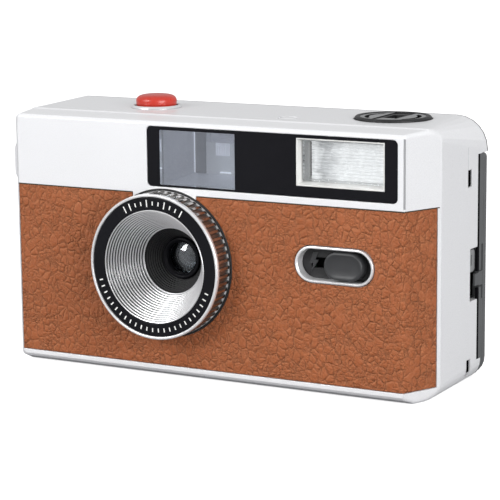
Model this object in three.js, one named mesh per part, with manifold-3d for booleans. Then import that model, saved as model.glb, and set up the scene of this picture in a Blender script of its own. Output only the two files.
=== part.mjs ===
// A reusable 35 mm half-frame camera as an assembly of separate parts, in millimetres.
// Frame: +X to the right seen from the front, +Y from the front towards the back, +Z up.
// Parts are drawn with y = 0 on the main front face and z = 0 on the base. Their group is then
// moved so that the origin lies at the middle of the base, half way through the body's depth.
import * as THREE from "three";
import { mergeVertices } from "three/addons/utils/BufferGeometryUtils.js";
import Module from "manifold-3d";

const wasm = await Module();
wasm.setup();

// ---------- driving dimensions ----------
const BODY_HEIGHT = 65.6;
const COVER_DEPTH = 10.8; // front cover
const HOUSING_BACK = 33.25; // back edge of the silver housing beside the door
const TOP_BACK = 36.1; // and above the door
const BODY_DEPTH = 36.9; // face of the back door
const WALL = 1.8;
const LEFT_FRONT = -57.2, LEFT_BACK = -59.8; // left side, flaring towards the back
const RIGHT_FRONT = 57.2, RIGHT_BACK = 58.1; // right side
const CREASE_X = 52.2; // where the front bends back to the right-hand wing
const WING_X = 56.95, WING_Y = 10.3; // far edge of the wing
const DOOR_OPENING_TOP = 57.0;
const FILM_Y = 33.25; // film rails
const GATE_WIDTH = 18, GATE_HEIGHT = 24; // half-frame film gate
const LEATHER_Z0 = 3.25, LEATHER_Z1 = 46.7, LEATHER_THICKNESS = 0.6;
const RIM_RADIUS = 18.28, RIM_FRONT = -6.4;

// Front rectangles: [x0, x1, z0, z1]
const PANEL = [-17.6, 50.6, 48.5, 63.6];
const FINDER = [-14.1, 7.2, 49.0, 62.7];
const FLASH = [23.9, 47.1, 51.2, 62.7];

// Centre lines of features running along Y
const LENS = { x: -12.5, z: 29.4 };
const SWITCH = { x: 34.05, z: 32.5 };
const LAMP = { x: -22.5, z: 61.0 };
const SCREWS = [{ x: 20, z: 50 }, { x: 3, z: 8.5 }];
// and along Z
const BUTTON = { x: -26.9, y: 20.6 };
const REWIND = { x: 38.9, y: 22.9 };
const SPOOL = { x: -45.0, y: 25.8 };
const SPROCKET = { x: -29.3, y: 27.25 };
const DIAL = { x: 16.6, y: 20.2 };
const COUNTER = { x: 15.0, y: 13.6 };
const BATTERY = { x: 15.0, y: 17.6 };
const HINGE = { x: -58.5, y: 35.55 };

// Cutter extents that clear the part being cut
const WIDE = [-70, 70]; // x, past both sides
const THROUGH_FRONT = [-3, 6]; // y
const THROUGH_TOP = [60, 70]; // z
const PAST_BACK = 40; // y

// ---------- finishes: [colour, roughness, metalness] ----------
const SILVER = 0xd9dbdf, DARK = 0x55575a, BLACK = 0x17181b, STEEL = 0xb9bcc0, CLEAR = 0xeef3f6;
const FINISH = {
  bodySilver: [SILVER, 0.35, 0.25], fittingSilver: [SILVER, 0.4, 0.2],
  brightSilver: [SILVER, 0.25, 0.6], rimSilver: [SILVER, 0.25, 0.8],
  coneSilver: [SILVER, 0.3, 0.6], bezelSilver: [SILVER, 0.3, 0.5],
  chassisDark: [DARK, 0.55, 0], dark: [DARK, 0.5, 0], rewindDark: [DARK, 0.45, 0],
  black: [BLACK, 0.5, 0], panelBlack: [BLACK, 0.15, 0], ringBlack: [BLACK, 0.3, 0],
  smoothBlack: [BLACK, 0.35, 0], wellBlack: [BLACK, 0.4, 0], sprocketBlack: [BLACK, 0.45, 0],
  mattBlack: [BLACK, 0.6, 0], sheenBlack: [BLACK, 0.3, 0.2],
  plateBlack: [BLACK, 0.4, 0.5], bladeBlack: [BLACK, 0.5, 0.6],
  steel: [STEEL, 0.3, 1], screwSteel: [STEEL, 0.35, 1],
  dullSteel: [STEEL, 0.4, 0.8], mirrorSteel: [STEEL, 0.1, 1],
  glass: [CLEAR, 0.02, 0], flashGlass: [CLEAR, 0.05, 0],
  leather: [0xa4603c, 0.6, 0], foam: [0x202020, 0.95, 0], circuitBoard: [0x2c6b46, 0.6, 0],
  red: [0xd8402f, 0.35, 0], dialWhite: [0xf0f0ee, 0.5, 0], lampAmber: [0xd88a3a, 0.3, 0],
  cell: [0x3a3d42, 0.35, 0.6], brass: [0xc2a35a, 0.3, 1],
};

// ---------- solids ----------
const WELD = 1e-4;
// A closed geometry becomes a manifold solid; solids are joined and cut, then turned back.
function solid(geometry) {
  const bare = geometry.index ? geometry.toNonIndexed() : geometry.clone();
  bare.deleteAttribute("normal");
  bare.deleteAttribute("uv");
  const welded = mergeVertices(bare, WELD);
  return new wasm.Manifold(new wasm.Mesh({
    numProp: 3,
    vertProperties: welded.attributes.position.array,
    triVerts: new Uint32Array(welded.index.array),
  }));
}

function flip(geometry) {
  const flipped = geometry.index ? geometry.toNonIndexed() : geometry.clone();
  const p = flipped.attributes.position.array;
  for (let i = 0; i < p.length; i += 9)
    for (let k = 0; k < 3; k++) [p[i + 3 + k], p[i + 6 + k]] = [p[i + 6 + k], p[i + 3 + k]];
  return flipped;
}

// a solid from a geometry that may be wound inside out
function outwardSolid(geometry) {
  const result = solid(geometry);
  return result.volume() < 0 ? solid(flip(geometry)) : result;
}

const join = (...solids) => solids.reduce((a, b) => a.add(b));
const cut = (blank, ...cutters) => cutters.reduce((a, b) => a.subtract(b), blank);

const box = (x0, x1, y0, y1, z0, z1) =>
  solid(new THREE.BoxGeometry(x1 - x0, y1 - y0, z1 - z0)
    .translate((x0 + x1) / 2, (y0 + y1) / 2, (z0 + z1) / 2));
const slab = ([x0, x1, z0, z1], y0, y1) => box(x0, x1, y0, y1, z0, z1);

// cylinders along each axis
const rodX = ({ y, z }, radius, x0, x1, sides = 16) =>
  solid(new THREE.CylinderGeometry(radius, radius, x1 - x0, sides)
    .rotateZ(Math.PI / 2).translate((x0 + x1) / 2, y, z));
const rodY = ({ x, z }, radius, y0, y1, sides = 24) =>
  solid(new THREE.CylinderGeometry(radius, radius, y1 - y0, sides)
    .translate(x, (y0 + y1) / 2, z));
const rodZ = ({ x, y }, radius, z0, z1, sides = 24) =>
  solid(new THREE.CylinderGeometry(radius, radius, z1 - z0, sides)
    .rotateX(Math.PI / 2).translate(x, y, (z0 + z1) / 2));

// parts turned about a line along Y or Z; profile rows are [radius, position on the line]
const turned = (profile, segments) =>
  new THREE.LatheGeometry(profile.map((point) => new THREE.Vector2(...point)), segments);
const latheY = ({ x, z }, segments, profile) =>
  outwardSolid(turned(profile, segments).translate(x, 0, z));
const latheZ = ({ x, y }, segments, profile) =>
  outwardSolid(turned(profile, segments).rotateX(Math.PI / 2).translate(x, y, 0));

// a flat shape pushed along one axis: drawn in (y, z), (x, z) and (x, y)
const extrude = (shape, depth, curveSegments = 8) =>
  new THREE.ExtrudeGeometry(shape, { depth, bevelEnabled: false, curveSegments });
const extrudeX = (shape, x0, x1) =>
  solid(extrude(shape, x1 - x0)
    .applyMatrix4(new THREE.Matrix4().set(0, 0, 1, x0, 1, 0, 0, 0, 0, 1, 0, 0, 0, 0, 0, 1)));
const extrudeY = (shape, y0, y1, curveSegments) =>
  solid(extrude(shape, y1 - y0, curveSegments).rotateX(Math.PI / 2).translate(0, y1, 0));
const extrudeZ = (shape, z0, z1) => solid(extrude(shape, z1 - z0).translate(0, 0, z0));

// ---------- outlines ----------
const TURN = 2 * Math.PI;
const across = (middle, half) => [middle - half, middle + half];
// move the edges of [x0, x1, z0, z1] by one offset each, or all outwards
const moveEdges = (edges, ...offsets) => edges.map((edge, i) => edge + offsets[i]);
const grow = (edges, margin) => moveEdges(edges, -margin, margin, -margin, margin);
const polar = (radius, angle, x = 0, y = 0) =>
  [x + radius * Math.cos(angle), y + radius * Math.sin(angle)];
const polygon = (points) => new THREE.Shape(points.map((point) => new THREE.Vector2(...point)));
const ringShape = (count, x, y, radiusAt, phase = 0) =>
  polygon(Array.from({ length: count }, (_, i) =>
    polar(radiusAt(i), ((i + phase) / count) * TURN, x, y)));

function roundedRect(x0, x1, z0, z1, radius) {
  const shape = new THREE.Shape();
  const [left, right, low, high] = [x0 + radius, x1 - radius, z0 + radius, z1 - radius];
  shape.moveTo(left, z0);
  shape.lineTo(right, z0);
  [[right, low], [right, high], [left, high], [left, low]].forEach(([x, z], i) =>
    shape.absarc(x, z, radius, ((i - 1) * Math.PI) / 2, (i * Math.PI) / 2, false));
  return shape;
}
// the end radius stays just under half the width, so the ends keep a short flat
const stadium = ({ x, z }, length, width) =>
  roundedRect(...across(x, length / 2), ...across(z, width / 2), width / 2 - 0.001);

const rect = (x0, x1, z0, z1) => [[x0, z0], [x1, z0], [x1, z1], [x0, z1]];
const rectAround = ({ x, z }, halfWidth, halfHeight) =>
  rect(...across(x, halfWidth), ...across(z, halfHeight));

// the body's outline seen from the front, with its own radius at each corner
const CORNER_STEPS = 6;
function outline([left, right, bottom, top], [topLeft, topRight, bottomRight, bottomLeft]) {
  return [
    [right - bottomRight, bottom + bottomRight, bottomRight],
    [right - topRight, top - topRight, topRight],
    [left + topLeft, top - topLeft, topLeft],
    [left + bottomLeft, bottom + bottomLeft, bottomLeft],
  ].flatMap(([x, z, radius], quarter) => Array.from({ length: CORNER_STEPS + 1 }, (_, i) =>
    polar(radius, (quarter - 1 + i / CORNER_STEPS) * (TURN / 4), x, z)));
}

// a solid through [y, points] sections at rising y, all with the same number of points
function loft(sections) {
  const rings = sections.map(([y, points]) => points.map(([x, z]) => [x, y, z]));
  const count = rings[0].length;
  const positions = [];
  const triangle = (a, b, c) => positions.push(...a, ...b, ...c);
  for (let k = 0; k + 1 < rings.length; k++)
    for (let i = 0; i < count; i++) {
      const j = (i + 1) % count;
      triangle(rings[k][i], rings[k][j], rings[k + 1][j]);
      triangle(rings[k][i], rings[k + 1][j], rings[k + 1][i]);
    }
  for (const [ring, isBack] of [[rings[0], false], [rings.at(-1), true]]) {
    const flat = ring.map(([x, , z]) => new THREE.Vector2(x, z));
    for (const [i, j, k] of THREE.ShapeUtils.triangulateShape(flat, [])) {
      if (isBack) triangle(ring[i], ring[j], ring[k]);
      else triangle(ring[i], ring[k], ring[j]);
    }
  }
  return outwardSolid(new THREE.BufferGeometry()
    .setAttribute("position", new THREE.Float32BufferAttribute(positions, 3)));
}
// Body sections: y, [left, right, bottom, top],
// corner radii [top left, top right, bottom right, bottom left]
const bodyLoft = (...sections) =>
  loft(sections.map(([y, edges, radii]) => [y, outline(edges, radii)]));

// ---------- scene ----------
const camera35 = new THREE.Group();
const body = new THREE.Group();
body.position.set(0, -BODY_DEPTH / 2, 0);
camera35.add(body);

function part(name, shape, [color, roughness, metalness]) {
  const { vertProperties, triVerts } = shape.getMesh();
  const geometry = new THREE.BufferGeometry()
    .setAttribute("position", new THREE.Float32BufferAttribute(vertProperties, 3))
    .setIndex(new THREE.Uint32BufferAttribute(triVerts, 1));
  geometry.computeVertexNormals();
  const material = new THREE.MeshStandardMaterial({ color, roughness, metalness });
  const mesh = new THREE.Mesh(geometry, material);
  mesh.name = name;
  body.add(mesh);
}

// ---------- front cover ----------
const wingX = (y) => CREASE_X + ((WING_X - CREASE_X) * y) / WING_Y;
const coverOutside = bodyLoft(
  [0, [-56.2, CREASE_X, 2.1, 64.1], [1, 0.5, 0.5, 1]],
  [0.6, [-57, wingX(0.6), 1.4, 64.75], [1.3, 0.8, 0.7, 1.1]],
  [3.5, [-57.1, wingX(3.5), 0.1, 65.05], [1.4, 0.9, 0.9, 1.2]],
  [7.0, [-57.15, wingX(7.0), 0, 65.35], [1.4, 1.2, 1.3, 1.2]],
  [7.6, [-57.16, wingX(7.6), 0, BODY_HEIGHT], [1.4, 1.5, 1.6, 1.2]],
  [9.2, [-57.18, wingX(9.2), 0, BODY_HEIGHT], [1.4, 2.2, 2.3, 1.2]],
  [WING_Y, [LEFT_FRONT, WING_X, 0, BODY_HEIGHT], [1.4, 3.2, 3.2, 1.2]],
  [COVER_DEPTH - 0.05, [LEFT_FRONT, RIGHT_FRONT, 0, BODY_HEIGHT], [1.4, 3.4, 3.4, 1.2]],
);
const coverInside = bodyLoft(
  [WALL, [-55.1, 51.4, 3.0, 63.5], [0.6, 0.6, 0.6, 0.6]],
  [WING_Y, [-55.4, 54.9, 1.8, 63.7], [0.6, 2.8, 2, 0.6]],
  [COVER_DEPTH + 1, [-55.4, 55.3, 1.8, 63.8], [0.6, 2.8, 2, 0.6]],
);

// The leather wraps the front and the wing: a plan strip between two offsets of the surface.
const alongWing = new THREE.Vector2(WING_X - CREASE_X, WING_Y).normalize();
const intoWing = new THREE.Vector2(-alongWing.y, alongWing.x);
const offsetLine = (depth, left, wingLength) => [
  new THREE.Vector2(left, depth),
  new THREE.Vector2(CREASE_X + (depth * (alongWing.x - 1)) / alongWing.y, depth),
  new THREE.Vector2(CREASE_X, 0)
    .addScaledVector(alongWing, wingLength).addScaledVector(intoWing, depth),
];
const wrapShape = (depth0, depth1, left, wingLength) => new THREE.Shape([
  ...offsetLine(depth0, left, wingLength),
  ...offsetLine(depth1, left, wingLength).reverse(),
]);
const LEATHER_DEPTH = 0.05; // its face lies just behind the cover's surface
const LEATHER_GAP = 0.12; // above and below
const leatherPocket = extrudeZ(wrapShape(-1.5, 0.72, -56.35, 10.6),
  LEATHER_Z0 - LEATHER_GAP, LEATHER_Z1 + LEATHER_GAP);

// the zone round the lens ring and in the notch above it, which has no leather
const lensGuard = (radius, margin) => join(
  rodY(LENS, radius, ...THROUGH_FRONT, 56),
  box(-21.75 - margin, -3.75 + margin, ...THROUGH_FRONT, 44 - margin, LEATHER_Z1 + 1));

const SWITCH_LENGTH = 21.0, SWITCH_WIDTH = 9.0;
const switchHole = (gap) =>
  extrudeY(stadium(SWITCH, SWITCH_LENGTH + gap, SWITCH_WIDTH + gap), ...THROUGH_FRONT);

part("front_cover", cut(coverOutside, coverInside,
  cut(leatherPocket, lensGuard(18.6, 0)),
  rodY(LENS, 17.0, ...THROUGH_FRONT, 48),
  box(CREASE_X - 0.2, CREASE_X + 0.3, -1, 0.32, LEATHER_Z1 + 0.6, 63.9), // groove at the bend
  extrudeY(roundedRect(...PANEL, 1.3), THROUGH_FRONT[0], 0.9),
  slab(moveEdges(FINDER, -0.5, 0.5, 0, 0.1), ...THROUGH_FRONT),
  slab(grow(FLASH, 0.15), ...THROUGH_FRONT),
  switchHole(0.2)), FINISH.bodySilver);

part("front_leather", cut(
  extrudeZ(wrapShape(LEATHER_DEPTH, LEATHER_DEPTH + LEATHER_THICKNESS, -56.25, 10.5),
    LEATHER_Z0, LEATHER_Z1),
  lensGuard(18.78, 0.2), switchHole(0.4)), FINISH.leather);

part("trim_panel", cut(extrudeY(roundedRect(...grow(PANEL, -0.1), 1.2), 0.2, 0.85),
  slab(FINDER, ...THROUGH_FRONT),
  slab(grow(FLASH, 0.1), ...THROUGH_FRONT)), FINISH.panelBlack);

// ---------- main housing ----------
// edges and corner radii, as in the body sections
const HOUSING_FRONT_OUTLINE = [[LEFT_FRONT, RIGHT_FRONT, 0, BODY_HEIGHT], [1.4, 3.4, 3.4, 1.2]];
const HOUSING_BACK_OUTLINE = [[LEFT_BACK, RIGHT_BACK, 0, BODY_HEIGHT], [1.8, 7.6, 5, 1.6]];
function housingAt(y, margin = 0) {
  const t = (y - COVER_DEPTH) / (HOUSING_BACK - COVER_DEPTH);
  const [edges, radii] = HOUSING_FRONT_OUTLINE.map((values, row) =>
    values.map((value, i) => value + (HOUSING_BACK_OUTLINE[row][i] - value) * t));
  return [grow(edges, -margin), radii.map((radius) => Math.max(0.4, radius - margin))];
}
const housingLoft = (y0, y1, margin) =>
  bodyLoft([y0, ...housingAt(y0, margin)], [y1, ...housingAt(y1, margin)]);

const SLOT_Y = [25.2, 27.6]; // two slots in the right side
const LATCH_Z = [20.9, 34.0];
const REWIND_HOLE_RADIUS = 9.75;
part("main_housing", cut(
  housingLoft(COVER_DEPTH, TOP_BACK),
  housingLoft(COVER_DEPTH - 1, TOP_BACK + 1, WALL),
  box(...WIDE, HOUSING_BACK, PAST_BACK, -5, DOOR_OPENING_TOP),
  rodZ(BUTTON, 6.45, ...THROUGH_TOP, 32),
  rodZ(REWIND, REWIND_HOLE_RADIUS, ...THROUGH_TOP, 40),
  rodZ(COUNTER, 2.6, ...THROUGH_TOP, 20),
  box(52, 62, ...SLOT_Y, 49.4, 53.6),
  box(52, 62, ...SLOT_Y, 2.3, 6.44),
  box(54, 62, 26.8, PAST_BACK, ...LATCH_Z),
  box(8.2, 21.7, 11.2, 24.0, -2, 4), // battery door
  rodZ(SPROCKET, 1.75, -2, 4, 20)), FINISH.bodySilver);

part("strap_lug", cut(
  extrudeY(roundedRect(-62.15, -50, 46.5, 57.1, 3.9), 5.3, 8.3)
    .intersect(box(-70, -57.25, 5, 20, 40, 60)),
  extrudeY(roundedRect(-60.5, -57.95, 48.6, 55.0, 1.2), 4, 10)), FINISH.bodySilver);

// ---------- chassis with film chambers, light box and the fixed back panel ----------
const CHASSIS_MARGIN = 2.1; // inside the housing's outer surface
const CHAMBER_Z = [4.4, 54.3], CHAMBER_INSIDE_Z = [5.6, 53.1];
const SPROCKET_BAY_Z = [5.8, 52.9];
const SPOOL_BAY_RADIUS = 9.9;
const HINGE_RADIUS = 1.1, HINGE_BORE = 0.6;

// a film chamber: round at the front, square towards the back
const chamber = (centre, radius, backY, z, sides) => join(
  rodZ(centre, radius, ...z, sides),
  box(...across(centre.x, radius), centre.y, backY, ...z));

const chassisFront = () => join(
  box(-57.1, 55.8, 30.8, FILM_Y + 0.5, 2.2, 56.4),
  chamber(REWIND, 14.2, 31, CHAMBER_Z, 32),
  chamber(SPOOL, 10.9, 31, CHAMBER_Z, 28),
  loft([[14.8, rectAround(LENS, 4.7, 5.2)], [31, rectAround(LENS, 9.9, 13)]]), // light box
  box(-35.5, -22.5, 22.6, 31, 52.9, 54.3), // sprocket bay top
  box(-35.5, -22.5, 22.6, 31, 4.4, 5.8), // and bottom
).intersect(bodyLoft(
  [8, ...housingAt(8, CHASSIS_MARGIN)],
  [HOUSING_BACK + 0.8, ...housingAt(HOUSING_BACK, CHASSIS_MARGIN)]));

const chassisBack = () => [
  // flange round the door
  bodyLoft([HOUSING_BACK + 0.04, ...housingAt(HOUSING_BACK)], [34.6, ...housingAt(HOUSING_BACK)])
    .subtract(box(...WIDE, 30, PAST_BACK, 56.95, 70)),
  // fixed panel above the door
  bodyLoft([TOP_BACK + 0.05, ...housingAt(TOP_BACK)], [36.6, ...housingAt(TOP_BACK)],
    [BODY_DEPTH, ...housingAt(TOP_BACK, 0.15)])
    .intersect(box(...WIDE, 30, PAST_BACK, DOOR_OPENING_TOP, 70)),
  bodyLoft([33.0, ...housingAt(33.0, CHASSIS_MARGIN)],
    [TOP_BACK + 0.2, ...housingAt(33.0, CHASSIS_MARGIN)])
    .intersect(box(...WIDE, 30, PAST_BACK, 56.0, 70)),
  // tabs reaching into the housing's side slots
  box(54.6, 55.7, 25.5, 31, 49.7, 53.3), box(55.5, 57.2, 25.5, 27.3, 49.7, 53.3),
  box(54.0, 55.2, 25.5, 31, 3.9, 6.14), box(55.0, 57.0, 25.5, 27.3, 3.9, 6.14),
];

const chassisCutters = () => [
  box(...WIDE, 34.3, PAST_BACK, -5, DOOR_OPENING_TOP), // room for the door
  box(-56.9, 55.4, FILM_Y, PAST_BACK, 3.2, 56.2), // inside the flange
  chamber(REWIND, 13.0, PAST_BACK, CHAMBER_INSIDE_Z, 32),
  chamber(SPOOL, SPOOL_BAY_RADIUS, PAST_BACK, CHAMBER_INSIDE_Z, 28),
  box(-35.2, -23.4, 29, PAST_BACK, ...SPROCKET_BAY_Z),
  rodZ(SPROCKET, 7.0, ...SPROCKET_BAY_Z, 24),
  loft([[14, rectAround(LENS, 3.5, 4)], [34, rectAround(LENS, GATE_WIDTH / 2, GATE_HEIGHT / 2)]]),
  // shaft holes: centre, radius, lower end of the top hole, sides
  ...[[REWIND, 3.2, 50, 20], [SPOOL, 1.75, 52, 16], [SPROCKET, 1.35, 52, 16]]
    .flatMap(([centre, radius, z, sides]) =>
      [rodZ(centre, radius, z, 60, sides), rodZ(centre, radius, 3, 7, sides)]),
  box(...across(SPOOL.x, SPOOL_BAY_RADIUS), 30, PAST_BACK, 57.6, 62.0), // thumb wheel slot
  box(-8.9, 2.1, 30, PAST_BACK, 57.9, 63.3), // eyepiece window
  rodY(LAMP, 1.2, 30, PAST_BACK, 14),
  box(56.4, 62, 30, PAST_BACK, ...LATCH_Z),
  box(55.3, 62, 26.4, PAST_BACK, 20.6, 34.3), // latch side
  rodZ(REWIND, 11.5, 59.2, 64.1, 32),
  ...SCREWS.flatMap((screw) => [rodY(screw, 1.05, 29, 35, 12), rodY(screw, 1.85, 32.2, 35, 16)]),
];

part("chassis", cut(join(chassisFront(), ...chassisBack()), ...chassisCutters())
  .add(join(rodZ(HINGE, HINGE_RADIUS, 20.3, 37.7, 14),
    box(-59.5, -57.9, 34.2, HINGE.y, 20.3, 37.7)))
  .subtract(rodZ(HINGE, HINGE_BORE, 19, 39, 12)), FINISH.chassisDark);

// ---------- back door ----------
const DOOR_OUTLINE = [[-57.2, RIGHT_BACK, 0.3, 56.7], [1, 1, 5, 1]];
const doorKnuckle = (z0, z1) =>
  join(rodZ(HINGE, HINGE_RADIUS, z0, z1, 14), box(-58.5, -57.0, 35.3, 36.4, z0, z1));
part("back_door", cut(join(
  bodyLoft([34.5, ...DOOR_OUTLINE], [36.3, ...DOOR_OUTLINE],
    [BODY_DEPTH, [-56.9, RIGHT_BACK - 0.5, 0.8, 56.3], [0.8, 0.8, 4.6, 0.8]]),
  box(56.75, 57.95, 32.2, 34.6, 24.0, 27.5), box(57.4, 57.95, 29.9, 34.6, 24.3, 27.3), // hook
  doorKnuckle(10, 20), doorKnuckle(38, 48)),
box(-55.5, 54.8, 34, 35.3, 4.5, 55.0),
rodZ(HINGE, HINGE_BORE, 9, 49, 12)), FINISH.chassisDark);
part("door_hinge_pin", rodZ(HINGE, 0.5, 9.5, 48.5, 12), FINISH.steel);
part("pressure_plate", box(-23.8, -0.5, 33.45, 33.95, 12.5, 46.3), FINISH.plateBlack);
part("pressure_plate_spring", join(
  box(-18, -7, 34.0, 34.3, 22, 37),
  box(-14, -11, 34.2, 35.2, 27, 32)), FINISH.steel);
part("top_light_seal", box(-54, 54, FILM_Y + 0.05, 34.35, 55.1, 56.0), FINISH.foam);

part("latch_base", box(54.1, 55.2, 26.9, 30.7, 19.6, 35.2), FINISH.black);
part("door_latch", join(
  cut(extrudeX(roundedRect(26.95, 31.6, 27.9, 33.4, 1.7), 56.0, 57.2),
    extrudeX(roundedRect(28.7, 29.7, 29.4, 32.2, 0.48), 55, 58)),
  box(55.45, 56.1, 29.9, 31.2, 28.6, 32.6)), FINISH.dark);

// ---------- lens ----------
const RIM_RIBS = 40; // each rib and its gap take four outline points
const knurl = ringShape(RIM_RIBS * 4, LENS.x, LENS.z,
  (i) => RIM_RADIUS - (i % 4 < 2 ? 0.12 : 0.55), 0.5);
part("lens_rim", cut(join(
  extrudeY(knurl, -5.5, -0.12),
  rodY(LENS, RIM_RADIUS, RIM_FRONT, -5.2, 56),
  rodY(LENS, 16.7, -0.3, 3.5, 36)),
rodY(LENS, 17.55, -8, -5.5, 56), rodY(LENS, 15.5, -6, 5, 36)), FINISH.rimSilver);
part("lens_name_ring", latheY(LENS, 48,
  [[14.3, -6.1], [17.4, -6.1], [17.4, -5.6], [14.3, -5.6], [14.3, -6.1]]), FINISH.ringBlack);
part("lens_cone", latheY(LENS, 40, [
  [13.85, -6.2], [14.2, -6.2], [14.2, -5.4], [15.35, -5.3], [15.35, -4.5],
  [9.3, 3.3], [8.25, 3.3], [8.25, 3.0], [13.85, -6.2]]), FINISH.coneSilver);
part("lens_inner_cone", latheY(LENS, 36, [
  [8.1, 3.45], [12.5, 3.45], [12.5, 4.3], [8.8, 4.3],
  [6.6, 8.7], [5.45, 8.7], [5.45, 7.9], [8.1, 3.45]]), FINISH.smoothBlack);
part("lens_retainer", latheY(LENS, 32, [
  [4.0, 7.7], [4.6, 7.2], [5.3, 7.3], [5.3, 8.9], [4.0, 8.9], [4.0, 7.7]]), FINISH.sheenBlack);
part("lens_front_element", latheY(LENS, 28, [
  [0, 7.9], [1.6, 8.08], [3.0, 8.5], [3.9, 8.97],
  [4.6, 8.97], [4.6, 9.9], [2.4, 9.7], [0, 9.6]]), FINISH.glass);
part("lens_barrel", latheY(LENS, 28, [
  [4.7, 9.0], [6.3, 9.0], [6.3, 10.8], [8.5, 10.8],
  [8.5, 12.1], [4.7, 12.1], [4.7, 9.0]]), FINISH.black);
part("lens_rear_element", latheY(LENS, 24, [
  [0, 10.9], [3.0, 10.75], [4.5, 10.6], [4.5, 11.6], [3.4, 11.6], [0, 12.0]]), FINISH.glass);

const BLADE_PIVOT = { x: LENS.x + 6.6, z: LENS.z - 6.0 };
part("shutter_plate", cut(join(
  box(-23, -2, 12.25, 13.3, 19, 40),
  rodY(BLADE_PIVOT, 0.7, 13.2, 14.4, 12)),
rodY(LENS, 2.4, 12, 14, 20)), FINISH.mattBlack);
// x from the lens axis, z
const BLADE_OUTLINE = [[8.2, 22.0], [8.0, 25.2], [2.2, 33.0], [-2.6, 32.9], [-3.4, 28.4], [4.6, 21.4]];
part("shutter_blade", cut(
  extrudeY(polygon(BLADE_OUTLINE.map(([x, z]) => [LENS.x + x, z])), 13.55, 13.8),
  rodY(BLADE_PIVOT, 0.8, 13, 15, 12)), FINISH.bladeBlack);

// ---------- viewfinder ----------
part("viewfinder_window", slab(grow(FINDER, -0.1), 0.35, 1.35), FINISH.glass);
part("viewfinder_tube", cut(join(
  slab(moveEdges(FINDER, -0.9, 0.6, -0.9, 0.5), 2.1, 17.0),
  box(-9.4, 2.6, 16.5, 33.0, 57.0, 63.4)),
loft([[1, rect(...FINDER)], [16.0, rect(...moveEdges(FINDER, 1.2, -1.2, 1.0, -0.3))]]),
box(-8.2, 1.4, 15, 34, 58.1, 62.8)), FINISH.dark);
part("viewfinder_eyepiece", box(-8.6, 1.8, 34.0, 36.2, 58.2, 63.0), FINISH.glass);

// ---------- flash ----------
const [FLASH_LEFT, FLASH_RIGHT] = FLASH;
const FLASH_TUBE = { y: 6.5, z: 57.0 };
part("flash_bezel", cut(slab(FLASH, 0.3, 5.2),
  loft([[0.2, rect(...moveEdges(FLASH, 0.35, -0.35, 0.35, -0.3))],
    [4.0, rect(...moveEdges(FLASH, 0.6, -0.45, 0.9, -0.4))]]),
  slab(moveEdges(FLASH, 1.4, -1.4, 1.3, -1.1), 3, 7)), FINISH.bezelSilver);
part("flash_lens", slab(moveEdges(FLASH, 0.9, -0.7, 1.1, -0.6), 2.0, 3.9), FINISH.flashGlass);

// one face of the parabolic reflector as (y, z) points: its depth and the y of its edges
const reflectorFace = (depth, edgeY) => Array.from({ length: 11 }, (_, i) => {
  const t = -1 + (2 * i) / 10;
  return [edgeY + depth * (1 - t * t), FLASH_TUBE.z + t * 4.7];
});
part("flash_reflector", extrudeX(
  polygon([...reflectorFace(2.5, 5.35), ...reflectorFace(2.8, 5.55).reverse()]),
  FLASH_LEFT + 1.2, FLASH_RIGHT - 1.2), FINISH.mirrorSteel);
part("flash_tube", rodX(FLASH_TUBE, 0.8, FLASH_LEFT + 1.6, FLASH_RIGHT - 1.6), FINISH.flashGlass);
part("flash_board", cut(box(5.6, 45.5, 6.75, 7.95, 16, 47.6),
  box(30, 50, 5, 9, 38, 50)), FINISH.circuitBoard);
part("flash_capacitor", rodZ({ x: 4.4, y: 20.0 }, 4.1, 12, 44), FINISH.sheenBlack);

const switchOutline = stadium(SWITCH, SWITCH_LENGTH, SWITCH_WIDTH);
part("flash_switch_surround", cut(extrudeY(switchOutline, -0.35, 2.5, 10),
  extrudeY(stadium(SWITCH, SWITCH_LENGTH - 1.7, SWITCH_WIDTH - 1.6), ...THROUGH_FRONT, 10)),
FINISH.brightSilver);
part("flash_switch_well", cut(extrudeY(switchOutline, 2.55, 3.9),
  box(26.8, 39.9, 2, 5, ...across(SWITCH.z, 1.3))), FINISH.wellBlack);
part("flash_switch_knob", join(
  extrudeY(stadium({ x: 36.55, z: SWITCH.z }, 10.3, 6.9), -0.55, 2.4),
  box(33.6, 39.5, 2.3, 6.4, ...across(SWITCH.z, 1.0))), FINISH.smoothBlack);

// ---------- shutter release ----------
part("button_collar", latheZ(BUTTON, 32, [
  [5.75, 66.25], [6.1, 66.3], [6.55, 65.7], [6.55, 65.65], [6.35, 65.65], [6.35, 62.1],
  [1.8, 62.1], [1.8, 62.7], [5.75, 62.7], [5.75, 66.25]]), FINISH.brightSilver);
part("shutter_button", latheZ(BUTTON, 28, [
  [0, 69.1], [2.6, 69.0], [4.2, 68.75], [5.0, 68.2], [5.25, 67.5], [5.2, 66.3],
  [5.0, 66.0], [1.45, 66.0], [1.45, 49.4], [0, 49.4]]), FINISH.red);
part("release_arm", box(-28.1, -25.5, 14.4, 22.0, 47.8, 49.35), FINISH.dullSteel);

function coil({ x, y }, z0, z1, { radius, wireRadius, turns }) {
  const count = turns * 8;
  const rise = z1 - z0 - 2 * wireRadius;
  const points = Array.from({ length: count + 1 }, (_, i) => new THREE.Vector3(
    ...polar(radius, (i / 8) * TURN, x, y), z0 + wireRadius + (rise * i) / count));
  return solid(new THREE.ExtrudeGeometry(ringShape(5, 0, 0, () => wireRadius), {
    steps: turns * 10,
    extrudePath: new THREE.CatmullRomCurve3(points),
    bevelEnabled: false,
  }));
}
part("button_spring", coil(BUTTON, 62.8, 65.9, { radius: 2.7, wireRadius: 0.3, turns: 3 }),
  FINISH.steel);

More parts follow.
